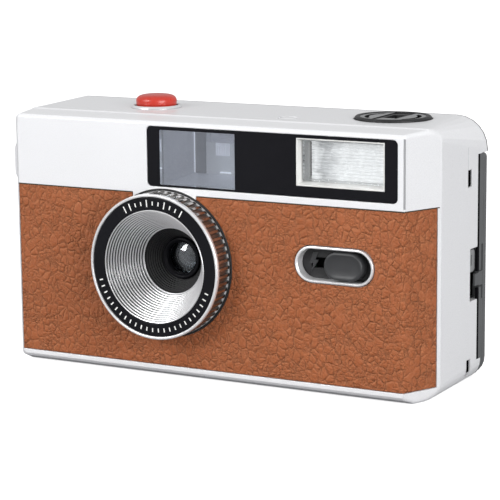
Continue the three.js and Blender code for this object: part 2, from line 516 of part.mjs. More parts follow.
// ---------- rewind ----------
part("rewind_well", cut(join(
  rodZ(REWIND, 11.2, 59.6, 63.7, 36),
  rodZ(REWIND, 3.0, 56.6, 60.0, 20)),
rodZ(REWIND, REWIND_HOLE_RADIUS, 60.7, 70, 40),
rodZ(REWIND, 1.75, 50, 70, 16)), FINISH.fittingSilver);

const CRANK = { y: REWIND.y + 6.4, z: 64.9 }; // pivot line along X
const CRANK_BORE = 0.55;
const crankSlotX = across(REWIND.x, 2.8), crankX = across(REWIND.x, 2.55);
// two raised grips with a slot between them for the folding crank, and a curved groove in each
const gripGroove = cut(rodZ(REWIND, 7.0, 65.2, 70, 40), rodZ(REWIND, 5.9, 60, 70, 40),
  box(...across(REWIND.x, 4.3), 0, 50, 60, 72));
part("rewind_knob", cut(
  latheZ(REWIND, 48, [
    [0, 61.0], [9.05, 61.0], [9.45, 61.4], [9.45, 65.95],
    [9.1, 66.3], [8.3, 66.3], [8.1, 66.1], [0, 66.1]]),
  box(...crankSlotX, REWIND.y - 7.9, CRANK.y, 62.6, 70),
  box(...crankSlotX, CRANK.y - 1.6, CRANK.y + 1.65, 62.6, 70),
  gripGroove,
  rodX(CRANK, CRANK_BORE, ...across(REWIND.x, 4.3), 12)), FINISH.rewindDark);
part("rewind_crank_pin", rodX(CRANK, 0.45, ...across(REWIND.x, 4.0), 12), FINISH.steel);
part("rewind_crank", cut(join(
  rodX(CRANK, 1.0, ...crankX),
  box(...crankX, CRANK.y - 12.6, CRANK.y, CRANK.z - 0.3, CRANK.z + 1.0),
  rodZ({ x: REWIND.x, y: CRANK.y - 11.0 }, 2.2, 63.0, CRANK.z + 0.5, 18)),
rodX(CRANK, CRANK_BORE, 0, 60, 12),
box(...across(REWIND.x, 1.7), CRANK.y - 8.6, CRANK.y - 1.7, 60, 70)), FINISH.rewindDark);
part("rewind_fork", cut(
  join(rodZ(REWIND, 1.55, 53, 60.95, 16), rodZ(REWIND, 2.8, 50, 54.5, 16)),
  box(...across(REWIND.x, 4), ...across(REWIND.y, 0.7), 49, 52.4)), FINISH.black);

// ---------- film transport ----------
const wheelOutline = ringShape(96, SPOOL.x, SPOOL.y, (i) => (i % 2 ? 11.7 : 11.25));
part("advance_wheel", join(extrudeZ(wheelOutline, 58.0, 61.6),
  rodZ(SPOOL, 3.0, 55.0, 58.1, 20)), FINISH.black);
part("take_up_spool", cut(join(
  rodZ(SPOOL, 4.6, 6.2, 52.6), rodZ(SPOOL, 7.2, 6.0, 7.4, 28), rodZ(SPOOL, 1.6, 3.6, 54.9, 16)),
box(...across(SPOOL.x, 0.6), SPOOL.y, SPOOL.y + 9, 12, 47)), FINISH.black);

const SPROCKET_TEETH = 8;
const sprocketTeeth = (z) => Array.from({ length: SPROCKET_TEETH }, (_, i) =>
  solid(new THREE.BoxGeometry(1.8, 1.0, 1.8).translate(5.6, 0, 0)
    .rotateZ((i / SPROCKET_TEETH) * TURN).translate(SPROCKET.x, SPROCKET.y, z)));
part("film_sprocket", join(
  rodZ(SPROCKET, 3.4, 6.4, 52.4, 20), rodZ(SPROCKET, 1.2, 4.0, 55.2, 12),
  // a toothed band at each edge of the film
  ...[1, -1].flatMap((side) => [
    rodZ(SPROCKET, 5.3, ...across(LENS.z + side * 14.5, 2.1)),
    ...sprocketTeeth(LENS.z + side * 14.1),
  ])), FINISH.sprocketBlack);
part("rewind_release", latheZ(SPROCKET, 20, [
  [0, 0.3], [1.3, 0.3], [1.6, 0.6], [1.6, 1.9], [2.4, 1.9],
  [2.4, 2.6], [0.9, 2.6], [0.9, 2.75], [0, 2.75]]), FINISH.black);
part("counter_dial", latheZ(DIAL, 36,
  [[1.2, 62.3], [7.9, 62.3], [7.9, 63.0], [1.2, 63.0], [1.2, 62.3]]), FINISH.dialWhite);
part("counter_stud", join(rodZ(DIAL, 1.1, 60.0, 63.6, 14), rodZ(DIAL, 2.6, 60.0, 62.1, 16)),
  FINISH.dullSteel);
part("counter_window", latheZ(COUNTER, 24,
  [[0, 65.7], [1.6, 65.65], [2.5, 65.4], [2.5, 63.95], [0, 63.95]]), FINISH.glass);

// ---------- battery ----------
part("battery_holder", cut(rodZ(BATTERY, 6.2, 2.2, 49.4, 28), rodZ(BATTERY, 5.4, 0, 48.4, 28)),
  FINISH.black);
part("battery_cell", join(rodZ(BATTERY, 5.2, 3.2, 46.6), rodZ(BATTERY, 1.9, 46.5, 47.6, 16)),
  FINISH.cell);
part("battery_contact_plus", rodZ(BATTERY, 4.0, 47.8, 48.2, 16), FINISH.brass);
part("battery_contact_minus",
  box(...across(BATTERY.x, 2.6), ...across(BATTERY.y, 2.6), 1.75, 2.6), FINISH.steel);
const BATTERY_HINGE = { x: 9.75, z: 0.82 };
part("battery_door", cut(box(8.9, 21.4, 11.4, 23.8, 0.05, 1.6),
  box(17.8, 20.4, 14.6, 20.6, -1, 0.5),
  rodY(BATTERY_HINGE, 0.38, 11, 24.5, 10)), FINISH.fittingSilver);
part("battery_door_pin", rodY(BATTERY_HINGE, 0.3, 11.45, 23.75, 10), FINISH.steel);

// ---------- screws with crossed slots ----------
SCREWS.forEach((screw, i) => {
  const { x, z } = screw;
  part(`chassis_screw_${i + 1}`, cut(
    join(rodY(screw, 0.95, 27.0, 32.4, 10), rodY(screw, 1.75, 32.3, 33.1, 16)),
    box(...across(x, 1.1), 32.7, 34, ...across(z, 0.2)),
    box(...across(x, 0.2), 32.7, 34, ...across(z, 1.1))), FINISH.screwSteel);
});

part("ready_lamp", rodY(LAMP, 1.1, 34.4, 37.0, 14), FINISH.lampAmber);

export default camera35;
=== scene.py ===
"""A compact film camera with a built-in flash: finishes, detailed parts, floor, lights and view.

Sizes are in millimetres unless a comment says otherwise. +X is the viewer's right, -Y is the
front and +Z is up. The leather front lies near y = 0, and the lens axis runs along Y.
"""
import bpy, bmesh, math
from mathutils import Vector, Matrix


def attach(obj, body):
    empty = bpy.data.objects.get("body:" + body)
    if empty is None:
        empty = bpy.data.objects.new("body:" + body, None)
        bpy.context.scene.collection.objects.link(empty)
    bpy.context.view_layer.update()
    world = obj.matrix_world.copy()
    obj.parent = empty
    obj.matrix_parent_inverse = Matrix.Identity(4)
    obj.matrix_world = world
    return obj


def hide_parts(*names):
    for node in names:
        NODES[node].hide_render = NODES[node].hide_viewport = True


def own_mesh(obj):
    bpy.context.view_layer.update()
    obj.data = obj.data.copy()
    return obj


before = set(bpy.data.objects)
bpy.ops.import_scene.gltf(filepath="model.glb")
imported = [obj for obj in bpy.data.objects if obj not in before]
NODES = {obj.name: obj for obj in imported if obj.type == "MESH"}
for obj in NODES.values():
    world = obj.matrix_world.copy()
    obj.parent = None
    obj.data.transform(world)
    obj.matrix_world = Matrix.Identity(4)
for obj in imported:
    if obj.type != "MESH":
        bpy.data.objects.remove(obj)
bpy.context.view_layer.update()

MM = 0.001
ORIGIN_Y = 18.45            # depth of the scene origin behind the front

LENS = (-12.5, 29.4)        # lens axis, x and z
SWITCH = (34.05, 32.5)      # centre of the flash switch, x and z
KNOB_X = 36.55              # centre of the sliding knob in the switch
BUTTON = (-26.9, 20.6)      # release button axis, x and y
REWIND = (38.9, 22.9)       # rewind knob axis, x and y

BEND_X = 52.2               # the front turns back here into the slanted wing on the right
WING_END_X, WING_END_Y = 56.95, 10.3
WING = Vector((WING_END_X - BEND_X, WING_END_Y)).normalized()


def to_scene(x, y, z):
    """Millimetres to scene metres."""
    return Vector((x * MM, (y - ORIGIN_Y) * MM, z * MM))


def add_object(name, data):
    thing = bpy.data.objects.new(name, data)
    bpy.context.scene.collection.objects.link(thing)
    return thing


# ------------------------------------------------------------------ node graphs
# Texture coordinates and bump distances are in metres.


class Graph:
    """A node tree with short ways to add and join nodes."""

    def __init__(self, tree):
        self.tree = tree

    def node(self, kind, **settings):
        node = self.tree.nodes.new(kind)
        for key, value in settings.items():
            setattr(node, key, value)
        return node

    def link(self, source, socket):
        self.tree.links.new(source, socket)

    def feed(self, socket, value):
        """Link a socket, or set a number or an RGB colour."""
        if isinstance(value, bpy.types.NodeSocket):
            self.link(value, socket)
        else:
            socket.default_value = (*value, 1) if isinstance(value, tuple) else value

    def ramp(self, source, stops):
        """Colour ramp; stops are (position, grey or RGB)."""
        node = self.node("ShaderNodeValToRGB")
        elements = node.color_ramp.elements
        while len(elements) > 1:
            elements.remove(elements[-1])
        for i, (position, color) in enumerate(stops):
            if not isinstance(color, tuple):
                color = (color, color, color)
            element = elements.new(position) if i else elements[0]
            element.position = position
            element.color = (*color, 1)
        self.link(source, node.inputs["Fac"])
        return node.outputs["Color"]

    def math(self, operation, *values):
        node = self.node("ShaderNodeMath", operation=operation)
        for i, value in enumerate(values):
            self.feed(node.inputs[i], value)
        return node.outputs[0]

    def add_weighted(self, total, *parts):
        """Add (socket, weight) parts to a total, which may be None."""
        for source, weight in parts:
            term = self.math("MULTIPLY", source, weight)
            total = term if total is None else self.math("ADD", total, term)
        return total

    def mix_shaders(self, factor, first, second):
        node = self.node("ShaderNodeMixShader")
        for i, source in enumerate((factor, first, second)):
            self.link(source, node.inputs[i])
        return node.outputs[0]


class Look(Graph):
    """A material built on its Principled shader."""

    INPUTS = dict(color="Base Color", rough="Roughness", metal="Metallic",
                  spec="Specular IOR Level", emit="Emission Strength",
                  emit_color="Emission Color")

    def __init__(self, name):
        self.material = bpy.data.materials.new(name)
        self.material.use_nodes = True
        super().__init__(self.material.node_tree)
        self.bsdf = self.tree.nodes["Principled BSDF"]
        self.coords = self.node("ShaderNodeTexCoord").outputs["Object"]

    def set(self, **values):
        for key, value in values.items():
            self.feed(self.bsdf.inputs[self.INPUTS[key]], value)

    def surface(self, shader):
        self.link(shader, self.tree.nodes["Material Output"].inputs["Surface"])

    def noise(self, scale, detail=4, rough=0.55, vector=None, distortion=0.0, output="Fac"):
        node = self.node("ShaderNodeTexNoise")
        node.inputs["Scale"].default_value = scale
        node.inputs["Detail"].default_value = detail
        node.inputs["Roughness"].default_value = rough
        node.inputs["Distortion"].default_value = distortion
        self.link(vector or self.coords, node.inputs["Vector"])
        return node.outputs[output]

    def mix(self, factor, first, second):
        node = self.node("ShaderNodeMix", data_type="RGBA")
        for i, value in ((0, factor), (6, first), (7, second)):
            self.feed(node.inputs[i], value)
        return node.outputs[2]

    def bump(self, height, strength, distance, edge=0.0):
        """Surface relief; edge is the shaded rounding of corners in mm."""
        bump = self.node("ShaderNodeBump")
        bump.inputs["Strength"].default_value = strength
        bump.inputs["Distance"].default_value = distance
        if height is not None:
            self.link(height, bump.inputs["Height"])
        if edge:
            bevel = self.node("ShaderNodeBevel", samples=4)
            bevel.inputs["Radius"].default_value = edge * MM
            self.link(bevel.outputs[0], bump.inputs["Normal"])
        self.link(bump.outputs[0], self.bsdf.inputs["Normal"])


def scaled(color, factor):
    return tuple(min(1, channel * factor) for channel in color)


# ------------------------------------------------------------------ kinds of material


def silver_paint():
    color, rough, flake_contrast = (0.84, 0.845, 0.86), 0.34, 0.05
    look = Look("silver_paint")
    flakes = look.noise(5200, detail=2, rough=0.6)
    clouds = look.noise(60, detail=3)
    paint = look.mix(look.ramp(flakes, [(0.35, 0), (0.65, 1)]),
                     scaled(color, 1 - flake_contrast), scaled(color, 1 + flake_contrast))
    paint = look.mix(look.ramp(clouds, [(0.3, 0.0), (0.8, 0.06)]), paint, scaled(color, 0.8))
    look.set(color=paint, metal=0.30,
             rough=look.ramp(clouds, [(0.3, rough * 0.9), (0.7, rough * 1.1)]))
    look.bump(flakes, strength=0.12, distance=0.00002, edge=0.25)
    return look.material


def plastic(name, color, rough, grain=3000, bump=0.15, edge=0.2, spec=0.5):
    look = Look(name)
    grains = look.noise(grain, detail=3, rough=0.6)
    clouds = look.noise(90)
    look.set(color=look.mix(look.ramp(clouds, [(0.3, 0), (0.75, 1)]),
                            scaled(color, 0.88), scaled(color, 1.12)),
             rough=look.ramp(grains, [(0.3, rough * 0.85), (0.7, min(1, rough * 1.15))]),
             spec=spec)
    look.bump(grains, strength=bump, distance=0.00004, edge=edge)
    return look.material


def metal(name, color, rough, stretch=(1, 1, 1), edge=0.12):
    """Grained metal; stretch scales the grain along each axis."""
    look = Look(name)
    mapping = look.node("ShaderNodeMapping")
    look.link(look.coords, mapping.inputs["Vector"])
    mapping.inputs["Scale"].default_value = stretch
    grains = look.noise(2500, detail=3, rough=0.6, vector=mapping.outputs[0])
    clouds = look.noise(120)
    look.set(color=look.mix(look.ramp(clouds, [(0.3, 0), (0.8, 1)]), scaled(color, 0.93), color),
             rough=look.ramp(grains, [(0.3, rough * 0.8), (0.7, rough * 1.25)]), metal=1.0)
    look.bump(grains, strength=0.08, distance=0.00002, edge=edge)
    return look.material


def smooth_metal(name, color, rough, metallic=0.75):
    look = Look(name)
    clouds = look.noise(35, detail=3)
    look.set(color=look.mix(look.ramp(clouds, [(0.3, 0), (0.8, 1)]), scaled(color, 0.95), color),
             rough=look.ramp(clouds, [(0.3, rough * 0.95), (0.7, rough * 1.05)]), metal=metallic)
    # No relief: only the rounded edges
    look.bump(None, strength=0.0, distance=0.00001, edge=0.08)
    return look.material


def pane(name, tint, reflect, rough=0.02, film=(1, 1, 1), haze=0.03):
    """Thin clear sheet: tinted view through, a film-coloured reflection and some dust haze."""
    look = Look(name)
    through = look.node("ShaderNodeBsdfTransparent")
    look.feed(through.inputs[0], tint)
    gloss = look.node("ShaderNodeBsdfGlossy")
    gloss.inputs["Roughness"].default_value = rough
    look.feed(gloss.inputs["Color"], film)
    fresnel = look.node("ShaderNodeFresnel")
    fresnel.inputs["IOR"].default_value = 1.5
    dust = look.ramp(look.noise(700), [(0.55, 0), (0.9, 1)])
    factor = look.add_weighted(None, (fresnel.outputs[0], reflect), (dust, haze))
    look.surface(look.mix_shaders(factor, through.outputs[0], gloss.outputs[0]))
    return look.material


# Painted light: makes a part glow though it is no lamp
def glowing(material, strength, color=(0.92, 0.92, 1.0)):
    bsdf = material.node_tree.nodes["Principled BSDF"]
    bsdf.inputs["Emission Color"].default_value = (*color, 1)
    bsdf.inputs["Emission Strength"].default_value = strength
    return material


def leather():
    """Brown leather: two sizes of creased cells that fade in and out, over a fine grain."""
    look = Look("leather_brown")

    # Coordinates shaken by noise, so that the creases wander
    shaken = look.node("ShaderNodeVectorMath", operation="MULTIPLY_ADD")
    look.link(look.noise(420, detail=5, rough=0.65, output="Color"), shaken.inputs[0])
    shaken.inputs[1].default_value = (0.0014, 0.0014, 0.0014)
    look.link(look.coords, shaken.inputs[2])

    def cells(scale, stretch=(1, 1, 1), turn=(0, 0, 0), shift=None):
        """Distance to the nearest cell edge."""
        vector = shaken.outputs[0]
        if shift:
            moved = look.node("ShaderNodeVectorMath", operation="ADD")
            look.link(vector, moved.inputs[0])
            moved.inputs[1].default_value = shift
            vector = moved.outputs[0]
        mapping = look.node("ShaderNodeMapping")
        mapping.inputs["Scale"].default_value = stretch
        mapping.inputs["Rotation"].default_value = turn
        look.link(vector, mapping.inputs["Vector"])
        voronoi = look.node("ShaderNodeTexVoronoi", feature="DISTANCE_TO_EDGE")
        voronoi.inputs["Scale"].default_value = scale
        look.link(mapping.outputs[0], voronoi.inputs["Vector"])
        return voronoi.outputs["Distance"]

    def faded(distance, stops, fade):
        return look.math("MULTIPLY", look.ramp(distance, stops), fade)

    large = dict(scale=560, stretch=(1, 1, 0.78), turn=(0, 0.6, 0))
    small = dict(scale=1050, stretch=(0.8, 1, 1), turn=(0, -0.5, 0))
    large_fade = look.ramp(look.noise(330, detail=3), [(0.34, 0.15), (0.56, 1)])
    small_fade = look.ramp(look.noise(230, detail=3, rough=0.5, distortion=0.4),
                           [(0.36, 0.1), (0.64, 1)])
    large_cells, small_cells = cells(**large), cells(**small)
    # The same cells moved slightly towards the light, for a painted highlight on the rim beside
    # each crease
    large_lit_cells = cells(**large, shift=(-0.00022, 0, 0.00020))
    small_lit_cells = cells(**small, shift=(-0.00016, 0, 0.00014))

    large_crease = faded(large_cells, [(0.0, 1), (0.03, 0.72), (0.12, 0.34), (0.28, 0.1),
                                       (0.5, 0)], large_fade)
    small_crease = faded(small_cells, [(0.0, 1), (0.05, 0.5), (0.18, 0.15), (0.4, 0)],
                         small_fade)
    # Painted shade: dark crease lines
    large_line_shade = faded(large_cells, [(0.0, 1), (0.05, 0.25), (0.09, 0.0)], large_fade)
    small_line_shade = faded(small_cells, [(0.0, 1), (0.07, 0.2), (0.12, 0.0)], small_fade)
    # Painted highlight: light rims beside the creases
    large_rim_highlight = faded(large_lit_cells, [(0.0, 1), (0.10, 0.35), (0.2, 0.0)], large_fade)
    small_rim_highlight = faded(small_lit_cells, [(0.0, 1), (0.12, 0.3), (0.22, 0.0)], small_fade)
    fine = look.ramp(cells(2300), [(0.0, 1), (0.2, 0.2), (0.5, 0)])

    crease = look.add_weighted(None, (large_crease, 0.60), (small_crease, 0.34), (fine, 0.07))
    swell = look.noise(260, detail=2)
    pores = look.noise(7000, detail=3, rough=0.6)
    height = look.add_weighted(look.math("SUBTRACT", 1.0, crease), (swell, 0.22), (pores, 0.07))

    # Two browns in clouds, with painted shade in the creases, a painted highlight on the rims and
    # the darkest painted shade on the crease lines
    color = look.mix(look.ramp(look.noise(45), [(0.3, 0), (0.7, 1)]),
                     (0.322, 0.0905, 0.029), (0.381, 0.114, 0.0392))
    # Painted shade: darker colour in the creases
    color = look.mix(look.ramp(crease, [(0.05, 0), (1.0, 0.40)]), color, (0.24, 0.062, 0.020))
    rim_highlight = look.add_weighted(None, (large_rim_highlight, 0.26), (small_rim_highlight, 0.16))
    color = look.mix(rim_highlight, color, (0.72, 0.30, 0.135))
    line_shade = look.add_weighted(None, (large_line_shade, 0.34), (small_line_shade, 0.18))
    color = look.mix(line_shade, color, (0.13, 0.034, 0.012))
    look.set(color=color, rough=look.ramp(crease, [(0.0, 0.44), (0.6, 0.62)]), spec=0.32)
    look.bump(height, strength=1.0, distance=0.0008, edge=0.25)
    return look.material


def ribbed_glass():
    """Cloudy flash glass with painted light: bright and dim bands across X that glow."""
    look = Look("ribbed_glass")
    clear = look.node("ShaderNodeBsdfTransparent")
    split = look.node("ShaderNodeSeparateXYZ")
    look.link(look.coords, split.inputs[0])
    swirl = look.noise(150, rough=0.6, distortion=2.2)
    across = look.math("ADD", split.outputs[0], look.math("MULTIPLY", swirl, 0.0075))
    # Painted light: glowing bands
    painted_light_bands = look.ramp(look.math("MULTIPLY", across, 20.0),
                      [(0.56, 0.16), (0.61, 0.30), (0.655, 0.01), (0.70, 0.10), (0.76, 0.30)])
    look.set(color=(0.84, 0.84, 0.83), rough=0.3, emit_color=(1, 1, 0.99), emit=painted_light_bands)
    cloud = look.ramp(look.noise(240, detail=3, rough=0.5, distortion=0.8),
                      [(0.35, 0.62), (0.65, 0.86)])
    look.surface(look.mix_shaders(cloud, clear.outputs[0], look.bsdf.outputs[0]))
    look.bump(look.noise(1500, detail=3), strength=0.2, distance=0.00004)
    return look.material


# ------------------------------------------------------------------ materials

SILVER = silver_paint()
CHROME = metal("bright_chrome", (0.86, 0.87, 0.88), rough=0.14)
# Painted shade: darker metal for the knurl grooves
KNURL_GROOVE_SHADE = metal("knurl_groove_shade", (0.27, 0.26, 0.25), rough=0.35)
KNURL = metal("knurled_ring", (0.50, 0.49, 0.48), rough=0.2)
STEEL = metal("steel", (0.6, 0.61, 0.62), rough=0.28, stretch=(1, 1, 20))
BRASS = metal("brass", (0.74, 0.56, 0.27), rough=0.25)
BLACK_METAL = metal("blackened_metal", (0.05, 0.05, 0.055), rough=0.35)
# Painted light: the reflector glows faintly, though it is no lamp
MIRROR = glowing(metal("reflector", (0.95, 0.95, 0.95), rough=0.24, edge=0), 0.12, (1, 1, 1))
CONE = smooth_metal("satin_bright", (0.86, 0.86, 0.87), rough=0.30)
# Painted shade: dark colour for the risers of the cone steps
CONE_RISER_SHADE = smooth_metal("cone_riser_shade", (0.075, 0.075, 0.08), rough=0.35)
TRIM = smooth_metal("white_trim", (0.90, 0.90, 0.91), rough=0.24, metallic=0.6)

GREY = plastic("grey_plastic", (0.10, 0.103, 0.106), rough=0.46, grain=2600, bump=0.25)
BLACK = plastic("black_plastic", (0.014, 0.014, 0.015), rough=0.5, grain=2400, bump=0.2, spec=0.4)
GLOSS = plastic("black_gloss", (0.008, 0.008, 0.010), rough=0.12, grain=900, bump=0.02, spec=0.09)
KNOB = plastic("switch_knob", (0.034, 0.035, 0.037), rough=0.40, grain=2600, spec=0.4)
# Painted light: lighter grey for the lit faces of the rewind knob and crank
LIT_FACE_GREY = plastic("painted_light_grey", (0.22, 0.225, 0.23), rough=0.4, grain=2600)
RED = plastic("red_plastic", (0.50, 0.032, 0.018), rough=0.30, grain=1800, bump=0.05, edge=0.15)
GREEN = plastic("circuit_green", (0.02, 0.16, 0.06), rough=0.35, grain=1500, bump=0.1)
FOAM = plastic("foam", (0.012, 0.012, 0.012), rough=0.95, grain=1200, bump=1.0, edge=0)
WHITE = plastic("white_plastic", (0.75, 0.75, 0.73), rough=0.4, grain=2000, bump=0.05)
PRINT = plastic("white_print", (0.82, 0.82, 0.8), rough=0.4, grain=2500, bump=0.03, edge=0)
JACKET = plastic("battery_jacket", (0.05, 0.07, 0.13), rough=0.25, grain=900, bump=0.05)
AMBER = plastic("amber", (0.85, 0.30, 0.03), rough=0.2, grain=900, bump=0.03)
LATCH_GREY = plastic("latch_grey", (0.27, 0.275, 0.28), rough=0.42, grain=2600, bump=0.2)
LATCH_BLACK = plastic("latch_black", (0.006, 0.006, 0.007), rough=0.7, grain=2400, bump=0.2,
                      edge=0, spec=0.06)
# Painted shade: black put in recesses and gaps
RECESS_SHADE = plastic("recess_painted_shade", (0.004, 0.004, 0.005), rough=0.85, grain=2400, bump=0.2,
               edge=0, spec=0.04)
# Painted shadow: dark strip in the joint above the leather
JOINT_SHADOW = plastic("joint_painted_shadow", (0.055, 0.045, 0.038), rough=0.8, grain=2600, bump=0.2,
               edge=0, spec=0.05)
SEAM_LIGHT = plastic("seam_grey", (0.42, 0.425, 0.44), rough=0.6, grain=2600, bump=0.1,
                     edge=0, spec=0.2)
# Painted shade: darker grey for the groove at the bend
CREASE_SHADE = plastic("crease_painted_shade", (0.30, 0.303, 0.31), rough=0.6, grain=2600, bump=0.1,
                 edge=0, spec=0.2)

# Painted light: the viewfinder walls and ribs glow faintly, as if lit from behind; the shaded and
# the lit wall are painted shade and painted light on one grey, and the bright one is a painted
# highlight
TUBE_WALL = glowing(plastic("viewfinder_wall", (0.52, 0.52, 0.57), rough=0.3, grain=2600,
                            bump=0.1), 0.16)
FINDER_SHADED = glowing(plastic("finder_wall_painted_shade", (0.365, 0.362, 0.378), rough=0.3,
                              grain=2600, bump=0.1), 0.07)
FINDER_LIT = glowing(plastic("finder_wall_painted_light", (0.57, 0.565, 0.578), rough=0.3,
                               grain=2600, bump=0.1), 0.20)
FINDER_HIGHLIGHT = glowing(plastic("finder_painted_highlight", (0.85, 0.85, 0.88), rough=0.3, grain=2600,
                                bump=0.05, edge=0), 0.55)
RIBS = glowing(plastic("finder_rib", (0.66, 0.66, 0.7), rough=0.3, grain=2000, bump=0.05), 0.34)

PANE = pane("clear_pane", (0.93, 0.94, 0.95), reflect=1.0)
FINDER_PANE = pane("finder_pane", (0.80, 0.83, 0.85), reflect=1.3)
FLASH_PANE = pane("flash_pane", (0.97, 0.98, 0.99), reflect=0.9, rough=0.08)
LENS_GLASS = pane("coated_glass", (0.66, 0.68, 0.69), reflect=2.6, rough=0.06,
                  film=(0.95, 0.97, 1.0), haze=0.002)
LEATHER = leather()
RIBBED_GLASS = ribbed_glass()


def paint_faces(mesh, material, chosen):
    """Add a second material to the faces whose centre (mm) and normal pass the test."""
    mesh.materials.append(material)
    for face in mesh.polygons:
        spot = face.center
        if chosen(spot.x / MM, spot.y / MM + ORIGIN_Y, spot.z / MM, face.normal):
            face.material_index = 1


# ------------------------------------------------------------------ finish of the CAD nodes

# Material and the nodes that wear it; every other node is black plastic
CAD_FINISH = [
    (SILVER, "front_cover main_housing strap_lug battery_door rewind_well counter_window"),
    (WHITE, "flash_bezel counter_dial"),
    (GREY, "chassis back_door"),
    (LATCH_GREY, "door_latch"),
    (LATCH_BLACK, "latch_base"),
    (TUBE_WALL, "viewfinder_tube"),
    (GLOSS, "trim_panel lens_name_ring flash_switch_knob"),
    (JACKET, "flash_capacitor battery_cell"),
    (BLACK_METAL, "shutter_plate shutter_blade pressure_plate"),
    (FINDER_PANE, "viewfinder_window"),
    (PANE, "viewfinder_eyepiece flash_tube"),
    (FLASH_PANE, "flash_lens"),
    (LENS_GLASS, "lens_rear_element lens_front_element"),
    (STEEL, "door_hinge_pin pressure_plate_spring release_arm button_spring rewind_crank_pin "
            "counter_stud battery_contact_minus battery_door_pin chassis_screw_1 "
            "chassis_screw_2"),
    (BRASS, "battery_contact_plus"),
    (GREEN, "flash_board"),
    (FOAM, "top_light_seal"),
    (AMBER, "ready_lamp"),
    (MIRROR, "flash_reflector"),
    (CHROME, "lens_rim lens_cone button_collar flash_switch_surround"),
    (RED, "shutter_button"),
    (LEATHER, "front_leather"),
]
CAD_LOOK = {name: material for material, names in CAD_FINISH for name in names.split()}


# Painted light: the knob's top faces and the crank's front faces are painted lighter grey
def on_knob_top(x, y, z, normal):
    radius = math.hypot(x - REWIND[0], y - REWIND[1])
    return normal.z > 0.9 and z > 66.0 and radius < 8.2


def on_crank_front(x, y, z, normal):
    return y < REWIND[1] - 2.6


PAINTED_LIGHT_FACES = {"rewind_knob": on_knob_top, "rewind_crank": on_crank_front}

for name, node in NODES.items():
    mesh = node.data
    mesh.materials.clear()
    mesh.materials.append(CAD_LOOK.get(name, BLACK))
    for face in mesh.polygons:
        face.use_smooth = True
    if name in PAINTED_LIGHT_FACES:
        paint_faces(mesh, LIT_FACE_GREY, PAINTED_LIGHT_FACES[name])
    mesh.set_sharp_from_angle(angle=math.radians(21))
    weighted = node.modifiers.new("flat_faces", "WEIGHTED_NORMAL")
    weighted.keep_sharp = True
    weighted.mode = "FACE_AREA"
    weighted.weight = 80

# ------------------------------------------------------------------ mesh tools
# A solid is a pair of lists: vertices in mm, and faces.


def polar(centre, radius, angle):
    return centre[0] + radius * math.cos(angle), centre[1] + radius * math.sin(angle)


def mesh_from(name, solid, weld=True):
    mesh = bpy.data.meshes.new(name)
    mesh.from_pydata([to_scene(*vertex) for vertex in solid[0]], [], solid[1])
    edit = bmesh.new()
    edit.from_mesh(mesh)
    if weld:
        bmesh.ops.remove_doubles(edit, verts=edit.verts, dist=1e-7)
    bmesh.ops.recalc_face_normals(edit, faces=edit.faces)
    edit.to_mesh(mesh)
    edit.free()
    return mesh


def add_mesh(name, mesh, material, slot, replaces=None, body="camera_body", angle=32):
    """Add a piece: edges over the angle in degrees stay sharp."""
    for face in mesh.polygons:
        face.use_smooth = True
    mesh.set_sharp_from_angle(angle=math.radians(angle))
    mesh.materials.clear()
    mesh.materials.append(material)
    piece = add_object(name, mesh)
    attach(piece, body)
    if replaces:
        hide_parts(replaces)
    return piece


def add_piece(name, solid, *finish, **options):
    return add_mesh(name, mesh_from(name, solid), *finish, **options)


def lathe(profile, steps, centre=LENS, axis="y", closed=True):
    """Turn (radius, place along the axis) points round a Y or Z axis."""
    verts, faces = [], []
    for i in range(steps):
        for radius, along in profile:
            first, second = polar(centre, radius, 2 * math.pi * i / steps)
            verts.append((first, along, second) if axis == "y" else (first, second, along))
    count = len(profile)
    for i in range(steps):
        j = (i + 1) % steps
        for k in range(count if closed else count - 1):
            after = (k + 1) % count
            faces.append((i * count + k, i * count + after, j * count + after, j * count + k))
    return verts, faces


def ring_stack(sections, ends="cap"):
    """Skin over equal loops of points; the end loops are capped, joined or left open."""
    count = len(sections[0])
    last = (len(sections) - 1) * count
    verts = [vertex for section in sections for vertex in section]
    faces = []
    for start in range(0, last, count):
        for i in range(count):
            j = (i + 1) % count
            faces.append((start + i, start + j, start + count + j, start + count + i))
    if ends == "cap":
        faces.append(tuple(range(count)))
        faces.append(tuple(last + i for i in reversed(range(count))))
    elif ends == "join":
        for i in range(count):
            j = (i + 1) % count
            faces.append((last + i, last + j, j, i))
    return verts, faces


def stack_y(layers, ends="cap"):
    """Ring stack of (outline in x and z, y) layers."""
    return ring_stack([[(x, y, z) for x, z in outline] for outline, y in layers], ends)


def stadium(centre, length, width, steps=16):
    """Outline with straight long sides and round ends, its length along X."""
    radius = width / 2
    reach = length / 2 - radius
    outline = []
    for side, start in ((1, -math.pi / 2), (-1, math.pi / 2)):
        middle = (centre[0] + side * reach, centre[1])
        outline += [polar(middle, radius, start + math.pi * i / steps) for i in range(steps + 1)]
    return outline


def rectangle(left, right, bottom, top):
    return [(left, bottom), (right, bottom), (right, top), (left, top)]


# ------------------------------------------------------------------ lens


